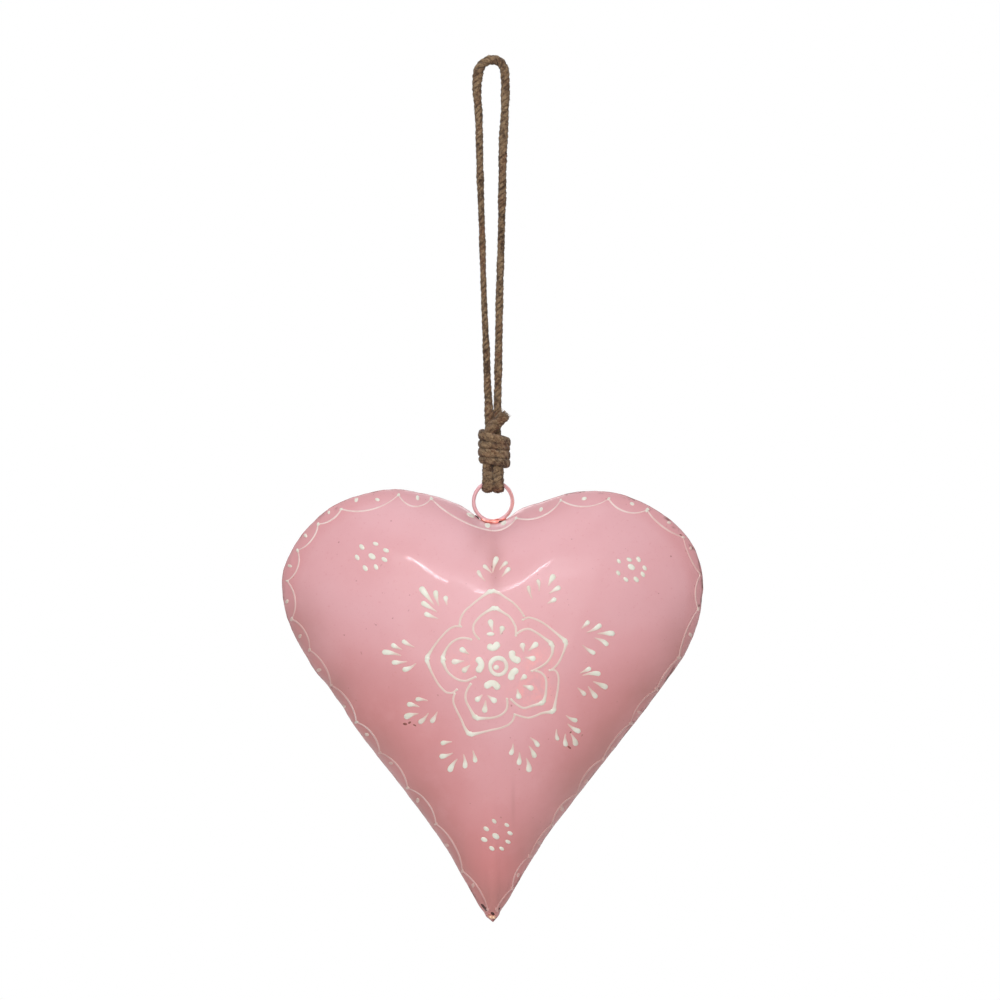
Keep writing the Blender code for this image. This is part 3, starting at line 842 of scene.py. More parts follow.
PETAL_DROPS = (
    # fat end and thin end
    ((490.4, 621.6), (492.8, 631.6)), ((502.2, 628.0), (500.4, 635.0)),
    ((522.4, 645.0), (523.8, 652.2)), ((536.0, 644.2), (528.2, 651.0)),
    ((533.4, 658.6), (524.6, 657.4)), ((524.6, 676.6), (520.0, 680.4)),
    ((531.4, 688.2), (522.6, 685.2)), ((518.8, 697.0), (517.2, 688.6)),
    ((494.6, 700.8), (487.0, 695.2)), ((484.6, 710.6), (485.8, 700.0)),
    ((477.2, 699.6), (482.6, 694.6)), ((464.0, 670.4), (470.4, 664.6)),
    ((453.8, 661.8), (464.6, 661.0)), ((461.8, 649.4), (469.2, 654.4)),
)
SMALL_HEARTS = (
    # one lobe, the point and the other lobe
    ((487.4, 645.0), (492.8, 648.0), (499.0, 642.4)), ((512.4, 650.2), (512.4, 657.0), (520.6, 661.4)),
    ((518.0, 669.0), (512.2, 673.6), (510.8, 680.4)), ((499.2, 689.2), (492.8, 683.2), (484.4, 687.2)),
    ((476.8, 657.4), (481.2, 664.4), (477.2, 672.4)),
)
SPRAY_DROPS = (
    # fat end, thin end and half width of each drop, five to a spray
    (478.6, 571.6, 485.7, 581.3, 1.9), (484.2, 566.2, 491.9, 573.4, 1.9),
    (496.6, 558.6, 492.6, 573.0, 2.5), (506.6, 563.0, 499.2, 570.2, 1.9),
    (508.8, 569.0, 501.8, 576.9, 2.1), (421.8, 588.8, 434.4, 605.2, 3.0),
    (436.0, 592.2, 439.0, 606.0, 2.5), (445.9, 597.6, 447.2, 605.4, 2.4),
    (423.0, 603.2, 437.2, 612.2, 2.5), (426.0, 613.9, 438.5, 618.9, 2.3),
    (528.7, 587.0, 532.4, 599.2, 1.8), (537.6, 580.8, 539.0, 591.4, 1.8),
    (553.3, 576.6, 548.2, 586.3, 2.8), (558.9, 588.0, 549.0, 593.8, 2.4),
    (554.5, 599.2, 547.0, 603.7, 2.3), (588.0, 622.2, 581.2, 628.7, 2.2),
    (599.5, 625.2, 586.6, 632.7, 2.4), (612.6, 633.7, 597.0, 633.7, 2.6),
    (606.3, 644.7, 594.0, 637.8, 2.3), (593.8, 652.8, 582.0, 644.8, 2.1),
    (589.4, 668.6, 579.9, 673.3, 2.1), (598.6, 674.2, 582.2, 675.5, 2.4),
    (605.5, 687.0, 592.8, 681.4, 2.7), (595.7, 696.5, 588.0, 686.0, 2.4),
    (584.2, 694.3, 577.3, 687.5, 2.1), (575.8, 719.8, 565.8, 715.2, 2.2),
    (578.8, 730.8, 567.4, 723.6, 2.4), (575.1, 743.9, 570.6, 733.4, 2.7),
    (566.1, 744.7, 565.6, 733.4, 2.3), (558.0, 738.9, 556.8, 728.8, 1.9),
    (510.6, 753.2, 513.1, 743.3, 2.3), (518.6, 763.1, 519.4, 751.7, 2.4),
    (528.2, 769.9, 526.2, 757.9, 2.8), (534.2, 756.2, 528.7, 745.6, 2.4),
    (537.4, 745.5, 529.9, 737.3, 2.2), (442.4, 743.3, 452.3, 741.8, 2.2),
    (441.3, 756.1, 453.1, 753.0, 2.5), (450.5, 770.0, 457.6, 758.6, 2.8),
    (464.6, 766.5, 463.5, 754.0, 2.4), (474.9, 760.9, 472.6, 750.2, 2.2),
    (417.2, 699.6, 427.9, 700.8, 2.1), (408.8, 704.7, 419.5, 707.0, 2.4),
    (406.6, 717.1, 418.8, 713.6, 2.9), (420.0, 721.8, 428.6, 712.7, 2.4),
    (432.0, 721.0, 437.4, 711.5, 2.4), (384.2, 652.4, 401.3, 655.7, 2.6),
    (393.0, 645.0, 402.2, 649.8, 2.3), (403.6, 641.2, 414.6, 647.3, 2.1),
    (393.6, 662.2, 407.2, 661.5, 2.3), (404.2, 669.0, 416.2, 663.2, 2.5),
)
DOT_FLOWERS = (
    # the middle dot, then the dots round it
    ((372.0, 556.4), (361.8, 547.0), (375.6, 543.8), (386.0, 550.4), (384.4, 559.6), (376.0, 567.0),
     (365.2, 568.2), (357.2, 557.4)),
    ((631.4, 567.0), (618.8, 561.2), (629.2, 559.6), (638.6, 559.4), (644.6, 568.0), (642.8, 574.4),
     (636.2, 579.4), (625.8, 579.4), (618.2, 573.0)),
    ((495.8, 836.2), (494.2, 821.2), (506.8, 825.0), (510.0, 833.2), (508.0, 841.8), (501.6, 848.6),
     (491.8, 848.4), (484.2, 839.6), (486.2, 828.8)),
)
BORDER_LEFT = (
    # cusp pixel, and how far the scallop after it sags inwards
    (491.4, 530.8, 5.0), (431.5, 498.9, 9.6), (398.4, 494.8, 7.6), (341.2, 509.2, 3.6),
    (318.1, 524.2, 4.6), (297.5, 550.4, 5.6), (287.2, 581.0, 5.6), (291.8, 619.0, 5.2),
    (309.6, 650.0, 4.6), (331.0, 685.0, 5.4), (356.4, 722.0, 5.4), (379.8, 752.4, 6.0),
    (407.6, 788.0, 6.6), (436.0, 823.8, 5.6), (462.4, 871.0, 4.0), (488.0, 910.0, 0.0),
)
BORDER_RIGHT = (
    (491.0, 530.6, 4.0), (516.0, 518.1, 7.8), (560.8, 500.2, 7.0), (608.4, 498.8, 7.6),
    (647.0, 510.0, 3.9), (683.4, 537.2, 2.4), (700.6, 574.6, 4.0), (698.4, 609.0, 3.0),
    (679.0, 657.8, 2.4), (656.8, 689.4, 4.6), (630.8, 723.0, 2.8), (602.8, 759.0, 5.0),
    (577.2, 794.0, 5.0), (551.8, 824.6, 2.6), (530.2, 856.0, 4.6), (512.4, 888.4, 1.6),
    (496.4, 909.6, 0.0),
)
BORDER_DOTS = (
    (305.1, 535.2), (289.8, 565.9), (287.0, 601.5), (328.6, 511.8), (356.3, 499.6), (377.4, 499.6),
    (417.6, 497.8), (300.1, 636.1), (318.9, 670.0), (343.8, 706.3), (366.8, 734.4), (391.0, 763.0),
    (417.7, 800.2), (447.1, 845.0), (473.1, 885.3), (541.0, 509.4), (584.2, 498.6), (632.1, 503.8),
    (669.7, 522.4), (691.2, 547.6), (690.4, 634.6), (639.2, 712.1), (612.7, 748.4), (586.1, 781.5),
    (562.0, 808.7), (538.7, 842.3), (518.1, 874.9),
)
WEAR_REACH = 2.2 * MM
WEAR_WIDTH = 60.0 * MM
WEAR_LOW_START = -0.305
WEAR_LOW_REACH = 18.0 * MM
WEAR_LEFT = 0.35
WEAR_RIGHT = 0.65
# Where the painted sheen of light from above lies: the top and the middle of the bulge
FADE_TOP_START = -258.0
FADE_TOP_REACH = 58.0
FADE_MIDDLE_X = 3.0
FADE_HALF_WIDTH = 28.0
FADE_RIM_DEPTH = 8.0 * MM
FADE_RIM_LEAST = 0.7
FADE_LOW_END = -305.0
FADE_LOW_REACH = 55.0
FADE_BULGE_SHARE = 0.95
SMEARS = (
    # x, z, half width and half height in mm, and strength of each spot of the front: stains here, then
    # painted shade along the lower rims, rubbed paint and painted sheen
    (0.6, -187.0, 3.4, 10.0, 0.45), (-6.0, -183.0, 5.0, 5.0, 0.25), (0.9, -196.0, 2.0, 9.0, 0.3),
    (7.6, -279.0, 0.8, 8.0, 0.3),
)
# painted shade: darker pink along the lower rims and at the tip, where less light falls
RIM_SMEARS = (
    (71.0, -222.0, 8.0, 13.0, 0.7), (60.0, -240.0, 10.0, 12.0, 0.75), (46.0, -258.0, 11.0, 13.0, 0.85),
    (33.0, -278.0, 11.0, 14.0, 0.9), (20.0, -298.0, 11.0, 13.0, 0.9), (0.0, -320.0, 12.0, 11.0, 0.8),
    (-17.0, -306.0, 8.0, 14.0, 0.8), (-30.0, -285.0, 9.0, 14.0, 0.75), (-44.0, -264.0, 9.0, 13.0, 0.75),
    (-62.0, -240.0, 8.0, 12.0, 0.7), (-72.0, -216.0, 9.0, 14.0, 0.6),
)
RUBS = (
    (74.0, -192.0, 14.0, 26.0, 0.7), (60.0, -243.0, 18.0, 20.0, 0.8), (40.0, -272.0, 18.0, 20.0, 0.8),
    (18.0, -300.0, 18.0, 18.0, 0.95), (-20.0, -300.0, 14.0, 18.0, 0.7), (0.0, -318.0, 14.0, 10.0, 0.8),
    (-40.0, -268.0, 14.0, 18.0, 0.6), (-62.0, -235.0, 12.0, 22.0, 0.55),
    (-76.0, -205.0, 10.0, 18.0, 0.35),
)
RIM_RUST = (
    # pixel, half width and half height in pixels, and strength of each rusty mark on the rim
    (666.4, 518.6, 1.5, 1.1, 1.0), (668.2, 519.8, 1.2, 0.9, 0.8), (672.9, 527.1, 1.2, 1.0, 0.4),
    (647.4, 511.4, 1.1, 0.8, 1.0), (650.0, 509.6, 1.8, 0.8, 0.5), (690.1, 547.0, 1.1, 1.5, 0.8),
    (692.4, 548.4, 1.0, 1.0, 0.9), (700.6, 572.4, 0.9, 1.6, 0.8), (702.0, 580.0, 0.8, 3.0, 0.6),
    (702.2, 586.0, 0.9, 3.6, 0.9), (701.6, 600.0, 1.1, 1.1, 0.7), (698.8, 606.0, 1.2, 1.1, 1.0),
    (680.4, 656.2, 1.1, 0.9, 0.9), (673.6, 667.2, 1.0, 1.6, 0.8), (672.0, 670.0, 1.1, 1.6, 1.0),
    (670.6, 672.6, 1.0, 1.6, 1.0), (668.4, 675.8, 1.1, 1.5, 1.0), (667.0, 678.0, 1.2, 1.5, 1.0),
    (665.6, 680.0, 0.9, 1.2, 0.9), (657.4, 688.8, 0.9, 0.9, 0.8), (640.8, 709.2, 0.9, 0.8, 0.5),
    (632.2, 722.6, 1.1, 0.8, 0.8), (628.4, 724.6, 1.1, 0.9, 0.6), (336.6, 509.4, 0.8, 1.3, 0.8),
    (283.4, 597.6, 1.0, 1.0, 0.6), (331.8, 687.4, 0.8, 1.0, 0.7), (344.2, 708.0, 0.8, 0.9, 0.6),
)
# painted sheen: spots on the petals and at the ring's right side where the lamps' reflection shows
FRESH_SPOTS = (
    (15.0, -237.0, 7.5, 6.5, 0.75), (17.0, -225.5, 6.0, 5.0, 0.6), (-10.0, -226.0, 8.0, 6.0, 0.3),
    (7.4, -165.5, 1.6, 5.0, 1.0),
)
LOOSE_SPOTS = (
    # pixel, half length, half width and turn in degrees
    ((487.6, 525.2), 3.0, 2.6, 20.0), ((503.4, 522.6), 3.0, 2.5, -30.0),
    ((470.6, 515.4), 4.6, 1.6, 28.0),
)
CHIPS = (
    # pixel, half length, half width and turn in degrees of each bare spot
    (405.0, 724.0, 2.2, 1.2, 10.0), (409.6, 722.6, 1.6, 1.0, -30.0), (414.6, 725.2, 1.8, 0.7, 25.0),
    (569.4, 747.4, 2.0, 1.0, 40.0), (492.8, 567.2, 1.7, 1.1, 60.0), (570.6, 732.4, 1.2, 0.7, -40.0),
    (459.2, 624.4, 0.9, 0.7, 0.0), (501.6, 633.6, 1.2, 0.5, -40.0), (680.8, 535.0, 1.4, 0.7, 30.0),
)
# openings in the seam at the tip, drawn dark as painted shade
TIP_HOLES = (
    (484.0, 907.4, 4.6, 1.3, 50.0), (492.6, 913.6, 2.1, 1.4, 35.0), (499.4, 908.8, 1.3, 0.8, 110.0),
)
TIP_METAL = (
    (490.2, 917.0, 2.6, 1.9, 10.0), (493.6, 916.8, 1.8, 1.4, -40.0),
)


# Spots of the middle flower, as pixel, half length and half width, and its ring
PETAL_BAR = ((490.5, 634.0), 3.9, 2.0)
ROSE_DOT = ((496.3, 667.4), 2.8, 2.5)
ROSE_RING_MIDDLE = (498.3, 666.4)
ROSE_RING_RADII = (8.2, 8.4)
ROSE_RING_HALF_WIDTHS = [2.4] * 3 + [1.9] * 11 + [2.4] * 4
ROSE_RING_STEPS = 16
ROSE_RING_START = 0.7
FLOWER_MIDDLE = (4.0, 2.7, 35.0)
# the range of a spot's half length in pixels, its flatness and the range of its turn in degrees
FLOWER_SPOT = ((2.6, 3.6), 0.64, (20.0, 60.0))
CUSP_SPOT = ((1.6, 2.5), 0.62, (0.0, 180.0))
EDGE_SPOT = ((2.1, 2.8), 0.66, (0.0, 180.0))
# the second spot beside a cusp's own, as shares of its size, and how far away and turned it is
BESIDE_SHARES = (0.66, 0.5)
BESIDE_REACH = 1.1
BESIDE_TURN_DEG = 70.0


def petal_parts(strokes, thin, thick, blob):
    """Petal sides in pairs that thicken towards their shared tip, with spots at tip and cusps."""
    parts = []
    for points in strokes:
        spacing = distances_along(np.array(points))[-1] / PETAL_LINE_POINTS
        route = resample(smooth_route(points, PETAL_STEPS), spacing)
        share = np.linspace(0.0, 1.0, len(route))
        parts.append(stroke(route, thin + (thick - thin) * share**PETAL_SWELL_POWER))
        sizes = [share * blob for share in CUSP_SHARES]
        parts.append(dot(points[0], *sizes, CUSP_TURN_DEG, CUSP_HEIGHT, CUSP_THINNESS))
    for one, other in zip(strokes[::2], strokes[1::2]):
        tip = np.array(one[-1])
        inward = unit(0.5 * (np.array(one[-2]) + np.array(other[-2])) - tip)
        spot = tip + TIP_SPOT_INSET * inward
        parts.append(dot(spot, blob, TIP_SPOT_SHARE * blob, height=TIP_SPOT_HEIGHT))
        parts.append(dot(tip + TIP_TAIL_INSET * inward, *[share * blob for share in TIP_TAIL_SHARES]))
    return parts


def rose_parts():
    """The flower in the middle: ring, small hearts, drops and two rows of petals."""
    parts = petal_parts(OUTER_STROKES, *OUTER_PETAL_SIZES)
    parts += petal_parts(INNER_STROKES, *INNER_PETAL_SIZES)
    parts += [teardrop(fat, thin, PETAL_DROP_HALF_WIDTH) for fat, thin in PETAL_DROPS]
    parts += [stroke(points, SMALL_HEART_HALF_WIDTHS) for points in SMALL_HEARTS]
    parts += [dot(*PETAL_BAR), dot(*ROSE_DOT)]
    ring = []
    for step in range(len(ROSE_RING_HALF_WIDTHS)):
        angle = 2.0 * math.pi * (step / ROSE_RING_STEPS + ROSE_RING_START)
        way = np.array((math.cos(angle), math.sin(angle)))
        ring.append(ROSE_RING_MIDDLE + ROSE_RING_RADII * way)
    parts.append(stroke(ring, ROSE_RING_HALF_WIDTHS, steps=COARSE_STEPS))
    return parts


def spray_parts():
    """Fans of five drops round the flower, their tails looking at its petals."""
    rng = draws(SPRAY_STREAM)
    parts = []
    for *ends, half_width in SPRAY_DROPS:
        parts.append(teardrop(ends[:2], ends[2:], half_width, rng.uniform(-SPRAY_BEND, SPRAY_BEND)))
    return parts


def flower_parts():
    """Rings of dots round a middle dot."""
    rng = draws(FLOWER_STREAM)
    sizes, flatness, turns = FLOWER_SPOT
    parts = []
    for middle, *petals in DOT_FLOWERS:
        parts.append(dot(middle, *FLOWER_MIDDLE))
        for petal in petals:
            size = rng.uniform(*sizes)
            parts.append(dot(petal, size, size * flatness, rng.uniform(*turns)))
    return parts


def scallop_parts():
    """Rows of thin scallops down both sides."""
    rng = draws(SCALLOP_STREAM)
    parts = []
    for border, inward_side in ((BORDER_LEFT, -1.0), (BORDER_RIGHT, 1.0)):
        for (x, y, sag), (next_x, next_y, _) in zip(border, border[1:]):
            start = np.array((x, y))
            chord = np.array((next_x, next_y)) - start
            inward = unit(np.array((-chord[1], chord[0]))) * inward_side
            points = []
            for share in np.linspace(0.0, 1.0, SCALLOP_POINTS):
                depth = sag * (1.0 - abs(2.0 * share - 1.0) ** SCALLOP_ROUNDNESS)
                points.append(start + share * chord + inward * depth)
            thin = rng.uniform(*SCALLOP_THINS)
            shift = rng.uniform(-SCALLOP_SHIFT, SCALLOP_SHIFT)
            bow = np.linspace(0.0, math.pi, SCALLOP_POINTS) + shift
            half_widths = thin + SCALLOP_SWELL * np.sin(bow)
            parts.append(stroke(points, half_widths, SCALLOP_HEIGHT, steps=COARSE_STEPS))
    return parts


def border_dot_parts():
    """An uneven spot at each cusp, one between each scallop and the edge, and a few loose ones."""
    rng = draws(BORDER_DOT_STREAM)
    parts = []
    sizes, flatness, turns = CUSP_SPOT
    for x, y, _ in BORDER_LEFT[1:] + BORDER_RIGHT[1:]:
        size = rng.uniform(*sizes)
        turn = rng.uniform(*turns)
        parts.append(dot((x, y), size, flatness * size, turn, BORDER_DOT_HEIGHT))
        beside = (x, y) + rng.uniform(-BESIDE_REACH, BESIDE_REACH, 2)
        halves = [share * size for share in BESIDE_SHARES]
        parts.append(dot(beside, *halves, turn + BESIDE_TURN_DEG, BORDER_DOT_HEIGHT))
    sizes, flatness, turns = EDGE_SPOT
    for spot in BORDER_DOTS:
        size = rng.uniform(*sizes)
        parts.append(dot(spot, size, flatness * size, rng.uniform(*turns), BORDER_DOT_HEIGHT))
    return parts + [dot(*spot) for spot in LOOSE_SPOTS]


def chip_parts(chips, height):
    """Spots where the paint has gone, or where bare weld metal stands out."""
    return [dot(chip[:2], *chip[2:], height) for chip in chips]


# Twine


def carried_frames(points):
    """The way along a line and two directions across it, carried along without twist."""
    ways = unit(np.gradient(points, axis=0))
    start = np.cross(ways[0], (0.0, 1.0, 0.0))
    if np.linalg.norm(start) < LEAST_ACROSS:
        start = np.cross(ways[0], (1.0, 0.0, 0.0))
    across = [unit(start)]
    for way in ways[1:]:
        flat = across[-1] - way * np.dot(across[-1], way)
        across.append(unit(flat))
    across = np.array(across)
    return ways, across, np.cross(ways, across)


def twine_body(points, radii, rng, pitch, depth, contrast):
    """The twisted plies as one ridged tube. Returns vertices, faces, the painted shade of the grooves,
    and lay.
    """
    _, across, other = carried_frames(points)
    along = distances_along(points)
    lumps = 1.0 + LUMP_DEPTH * waves(along / along[-1], LUMP_COUNTS, rng) * 2.0
    slack = 0.5 * waves(along / along[-1], SLACK_COUNTS, rng)
    phases = rng.random(len(FIBRE_WAVES)) * 2.0 * math.pi
    grooves = []
    lays = []

    def place_of(i, angle):
        lay_angle = angle - (2.0 * math.pi * along[i] / pitch + slack[i])
        ridge = abs(math.sin(0.5 * TWINE_PLIES * lay_angle)) ** RIDGE_POWER
        fibre = 0.0
        for wave, phase in zip(FIBRE_WAVES, phases):
            drift = 2.0 * math.sin(along[i] / FIBRE_DRIFT_LENGTH + wave)
            fibre += math.sin(wave * lay_angle + phase + drift)
        size = 1.0 - depth * (1.0 - ridge) + FIBRE_DEPTH * fibre / 2.0
        grooves.append(1.0 - contrast * (1.0 - ridge))
        lays.append((math.cos(lay_angle), math.sin(lay_angle), along[i] / MM))
        out = across[i] * math.cos(angle) + other[i] * math.sin(angle)
        return points[i] + out * (radii[i] * lumps[i] * size)

    return *tube(len(points), TWINE_SIDES, place_of), grooves, lays


def hair(base, out, way, rng, reach):
    """One loose fibre: it leaves the twine nearly flat and curls away from it."""
    length = rng.uniform(*HAIR_LENGTHS) * MM
    lift = rng.uniform(*HAIR_LIFTS) * reach
    side = np.cross(way, out) * rng.uniform(-HAIR_SWAY, HAIR_SWAY) * MM
    heading = way * (length if rng.random() < 0.5 else -length)
    t = np.linspace(0.0, 1.0, HAIR_SEGMENTS + 1)[:, None]
    return base + heading * t + out * lift * t**HAIR_CURL_POWER + side * t * t


def frayed_end(end, way, rng, radius):
    """Loose ends of fibre that fan out of a cut end."""
    parts = []
    steps = np.linspace(0.0, 1.0, HAIR_SEGMENTS + 1)[:, None]
    for _ in range(FRAY_COUNT):
        out = unit(np.cross(way, rng.normal(size=3)))
        start = end + out * radius * rng.uniform(0.0, FRAY_SHARE) - way * FRAY_ROOT * MM
        heading = unit(way + out * rng.uniform(*FRAY_SPREAD))
        length = rng.uniform(*FRAY_LENGTHS) * MM
        curl = np.cross(heading, out) * rng.uniform(-FRAY_CURL, FRAY_CURL) * MM
        parts.append(hair_shape(start + heading * length * steps + curl * steps**2, FRAY_RADIUS))
    return parts


def hair_shape(points, thickest=HAIR_RADIUS):
    """A three-sided tapering tube round a fibre's line."""
    _, across, other = carried_frames(points)

    def place_of(i, angle):
        radius = thickest * (1.0 - HAIR_TAPER * i / HAIR_SEGMENTS)
        return points[i] + radius * (across[i] * math.cos(angle) + other[i] * math.sin(angle))

    return tube(len(points), 3, place_of)


def store(piece, **layers):
    """Keep values for each vertex as named attributes of the mesh."""
    for name, values in layers.items():
        values = np.asarray(values, np.float32)
        kind, key = ("FLOAT_VECTOR", "vector") if values.ndim > 1 else ("FLOAT", "value")
        attribute = piece.data.attributes.new(name, kind, "POINT")
        attribute.data.foreach_set(key, values.ravel())


def loose_lay(rng):
    """A place of its own in the streaks for a loose fibre."""
    return [rng.random() * reach for reach in LOOSE_LAY_REACHES]


def twine(name, route, radii, hairs, stream, material, look=LOOSE_LAY, frayed=False):
    """A length of jute twine along a route, with its radius at the route's points."""
    pitch, depth, contrast, reach = look
    rng = draws(stream)
    points = resample(eased(resample(route, TWINE_STEP), TWINE_EASE_ROUNDS), TWINE_STEP)
    share = distances_along(route) / distances_along(route)[-1]
    radii = np.interp(np.linspace(0.0, 1.0, len(points)), share, radii)
    vertices, faces, grooves, lays = twine_body(points, radii, rng, pitch, depth, contrast)
    ways, across, other = carried_frames(points)
    parts = [(vertices, faces)]
    for _ in range(hairs):
        i = rng.integers(2, len(points) - 2)
        angle = rng.random() * 2.0 * math.pi
        out = across[i] * math.cos(angle) + other[i] * math.sin(angle)
        base = points[i] + out * radii[i] * HAIR_ROOT_SHARE
        parts.append(hair_shape(hair(base, out, ways[i], rng, reach)))
        grooves += [HAIR_GROOVE] * len(parts[-1][0])
        lays += [loose_lay(rng)] * len(parts[-1][0])
    if frayed:
        parts += frayed_end(points[-1], ways[-1], rng, radii[-1])
    for shape in parts[1 + hairs:]:
        grooves += [rng.uniform(*FRAY_GROOVES)] * len(shape[0])
        lays += [loose_lay(rng)] * len(shape[0])
    piece = mesh_piece(name, *merge(parts), material)
    store(piece, groove=grooves, lay=lays)
    return piece, points


def loop_route():
    """Up the left leg from inside the knot, over the bight and down the right leg."""
    chosen = [(x * MM, 0.0, z * MM) for x, z in LOOP_ROUTE]
    first = (-LOOP_FOOT_X, 0.0, LOOP_FOOT_Z)
    last = (LOOP_FOOT_X, 0.0, LOOP_FOOT_Z)
    return smooth_route([first] + chosen + [last], LOOP_STEPS)


def knot_route():
    """The winding from its top to its mouth, back up inside it and out as the cut end."""
    count = round(WRAP_TURNS * WRAP_POINTS_PER_TURN)
    points = []
    for i in range(count + 1):
        turns = i / WRAP_POINTS_PER_TURN
        angle = WRAP_START_ANGLE + 2.0 * math.pi * turns
        lean = WRAP_TOP_LEAN * max(0.0, 1.0 - turns / WRAP_LEAN_TURNS)
        swell = WRAP_MEAN_RADIUS + WRAP_SWELL * math.sin(WRAP_SWELL_COUNT * angle + WRAP_SWELL_START)
        points.append(
            (
                KNOT_SHIFT_X + swell * math.cos(angle),
                WRAP_MEAN_RADIUS * math.sin(angle),
                WRAP_TOP_Z - WRAP_PITCH * turns - lean * math.cos(angle),
            )
        )
    points += [tuple(value * MM for value in point) for point in INSIDE_ROUTE]
    return smooth_route(points, KNOT_STEPS)


def eye_route(x):
    """One bight from inside the knot down the front, under the ring's wire and up the back."""
    reach = math.hypot(NECK_MOUTH_Y, NECK_LENGTH)
    mouth_angle = math.atan2(NECK_LENGTH, -NECK_MOUTH_Y)
    start_angle = mouth_angle + math.acos(EYE_RADIUS / reach)
    sweep = 2.0 * (1.5 * math.pi - start_angle)
    front = [(x, -NECK_MOUTH_Y, EYE_ROOT_Z), (x, -NECK_MOUTH_Y, MOUTH_Z)]
    arc = []
    for step in range(EYE_ARC_STEPS + 1):
        angle = start_angle + sweep * step / EYE_ARC_STEPS
        arc.append((x, EYE_RADIUS * math.cos(angle), RING_AXIS_Z + EYE_RADIUS * math.sin(angle)))
    back = [(x, NECK_MOUTH_Y, MOUTH_Z), (x, NECK_MOUTH_Y, EYE_ROOT_Z)]
    return smooth_route(front + arc + back, EYE_STEPS)


# Ring and braze


def on_ring(reach, around, y):
    """A place at a distance and an angle from the ring's centre."""
    return reach * math.cos(around), y, RING_CENTRE_Z + reach * math.sin(around)


def ring_shape():
    """A bent wire ring, not quite round, with a lapped joint on its right side, and the painted shade
    in the lap's crease.
    """
    rng = draws(RING_STREAM)
    share = np.arange(RING_STEPS) / RING_STEPS
    wobble = RING_WOBBLE * waves(share, RING_WOBBLES, rng)
    thick = 1.0 + RING_UNEVENNESS * waves(share, RING_LUMPS, rng)
    grime = []

    def place_of(ring, angle):
        around = 2.0 * math.pi * share[ring]
        lap = 0.5 * max(0.0, math.cos(around - LAP_MIDDLE) - LAP_START)
        crease = lap * math.exp(-((math.sin(angle - LAP_ANGLE) + 1.0) * LAP_SHARPNESS) ** 2)
        wire = RING_WIRE_RADIUS * thick[ring] * (1.0 - crease)
        # painted shade in the crease
        grime.append(min(1.0, LAP_GRIME * crease))
        reach = RING_MEAN_RADIUS + wobble[ring] + wire * math.cos(angle)
        return on_ring(reach, around, wire * math.sin(angle))

    return tube(RING_STEPS, RING_WIRE_SIDES, place_of, looped=True), grime


def braze_shape():
    """A crescent of brazing metal that wets the ring's foot and both sides of the notch."""
    phases = draws(BRAZE_STREAM).random(4) * 2.0 * math.pi

    def place_of(ring, angle):
        share = ring / BRAZE_STEPS
        around = math.radians(BRAZE_START_DEG + (BRAZE_END_DEG - BRAZE_START_DEG) * share)
        size = max(BRAZE_END_FULLNESS, math.sin(math.pi * share)) ** BRAZE_END_POWER
        lump = 1.0
        for (height, count), phase in zip(BRAZE_LUMPS, phases):
            lump += height * math.sin(count * share + phase)
        turn = BRAZE_RIPPLE_SIDES * angle + BRAZE_RIPPLE_TURN * share + phases[2]
        size = size * lump * (1.0 + BRAZE_RIPPLE * math.sin(turn))
        reach = BRAZE_REACH + BRAZE_HALF_HEIGHT * size * math.cos(angle)
        return on_ring(reach, around, BRAZE_HALF_DEPTH * size * math.sin(angle))

    return tube(BRAZE_STEPS + 1, BRAZE_SIDES, place_of)


def lens(x, z, half_length, half_height, turn_deg):
    """A shallow lens in the face of the brazing metal."""

    def place_of(ring, angle):
        lean = math.pi * (ring + LENS_BLUNTNESS) / (LENS_RINGS - 1 + 2.0 * LENS_BLUNTNESS)
        u = half_length * math.cos(lean)
        v = half_height * math.sin(lean) * math.cos(angle)
        flat = turned(u, v, turn_deg, (x, z))
        depth = LENS_DEPTH * math.sin(lean) * math.sin(angle)
        return flat[0] * MM, BRAZE_GAP_Y + depth, flat[1] * MM

    return tube(LENS_RINGS, LENS_SIDES, place_of)


def gap_shape():
    """The hollows that the brazing metal left open, dark with painted shade."""
    return merge([lens(*gap) for gap in BRAZE_GAPS])


# Materials

NOISE_ROUGHNESS = 0.55
# Patches of noise: scale, detail, the range kept, the range given and roughness
PAINT_CLOUDS = (28.0, 4.0, 0.35, 0.65)
PAINT_HAZE = (75.0, 5.0, 0.5, 0.75, 0.0, 0.55, 0.65)
PAINT_GRAIN = (900.0, 2.0, 0.62, 0.8, 0.0, 0.35)
PAINT_DUST = (520.0, 2.0, 0.745, 0.79, 0.0, 0.6, 0.4)
# streaks that break up the painted sheen spots
PAINT_BRUSHING = (300.0, 4.0, 0.4, 0.62, 0.1, 1.0, 0.65)
PAINT_SCUFFS = (190.0, 4.0, 0.53, 0.62, 0.0, 1.0, 0.7)
CREAM_THINNING = (260.0, 4.0, 0.45, 0.75)
CREAM_BLUSH = (120.0, 3.0, 0.55, 0.75, 0.0, 0.25)
CREAM_GLOSS = (500.0, 3.0, 0.3, 0.7, 0.35, 0.5)
IRON_RUST = (900.0, 4.0, 0.35, 0.65, 0.35, 1.0)
IRON_GLOSS = (700.0, 3.0, 0.3, 0.7, 0.5, 0.8)
WELD_PATCHES = (500.0, 3.0, 0.4, 0.6)
SOOT_PATCHES = (1500.0, 3.0, 0.3, 0.7)
SOOT_GLOSS = (900.0, 3.0, 0.3, 0.7, 0.6, 0.9)
BRAZE_PATCHES = (420.0, 4.0, 0.4, 0.65)
BRAZE_GLOSS = (600.0, 3.0, 0.3, 0.7, 0.18, 0.34)
JUTE_STREAKS = (3.2, 5.0, 0.42, 0.64, 0.0, 1.0, 0.7)
JUTE_PATCHES = (330.0, 4.0, 0.48, 0.62, 0.0, 0.8, 0.6)
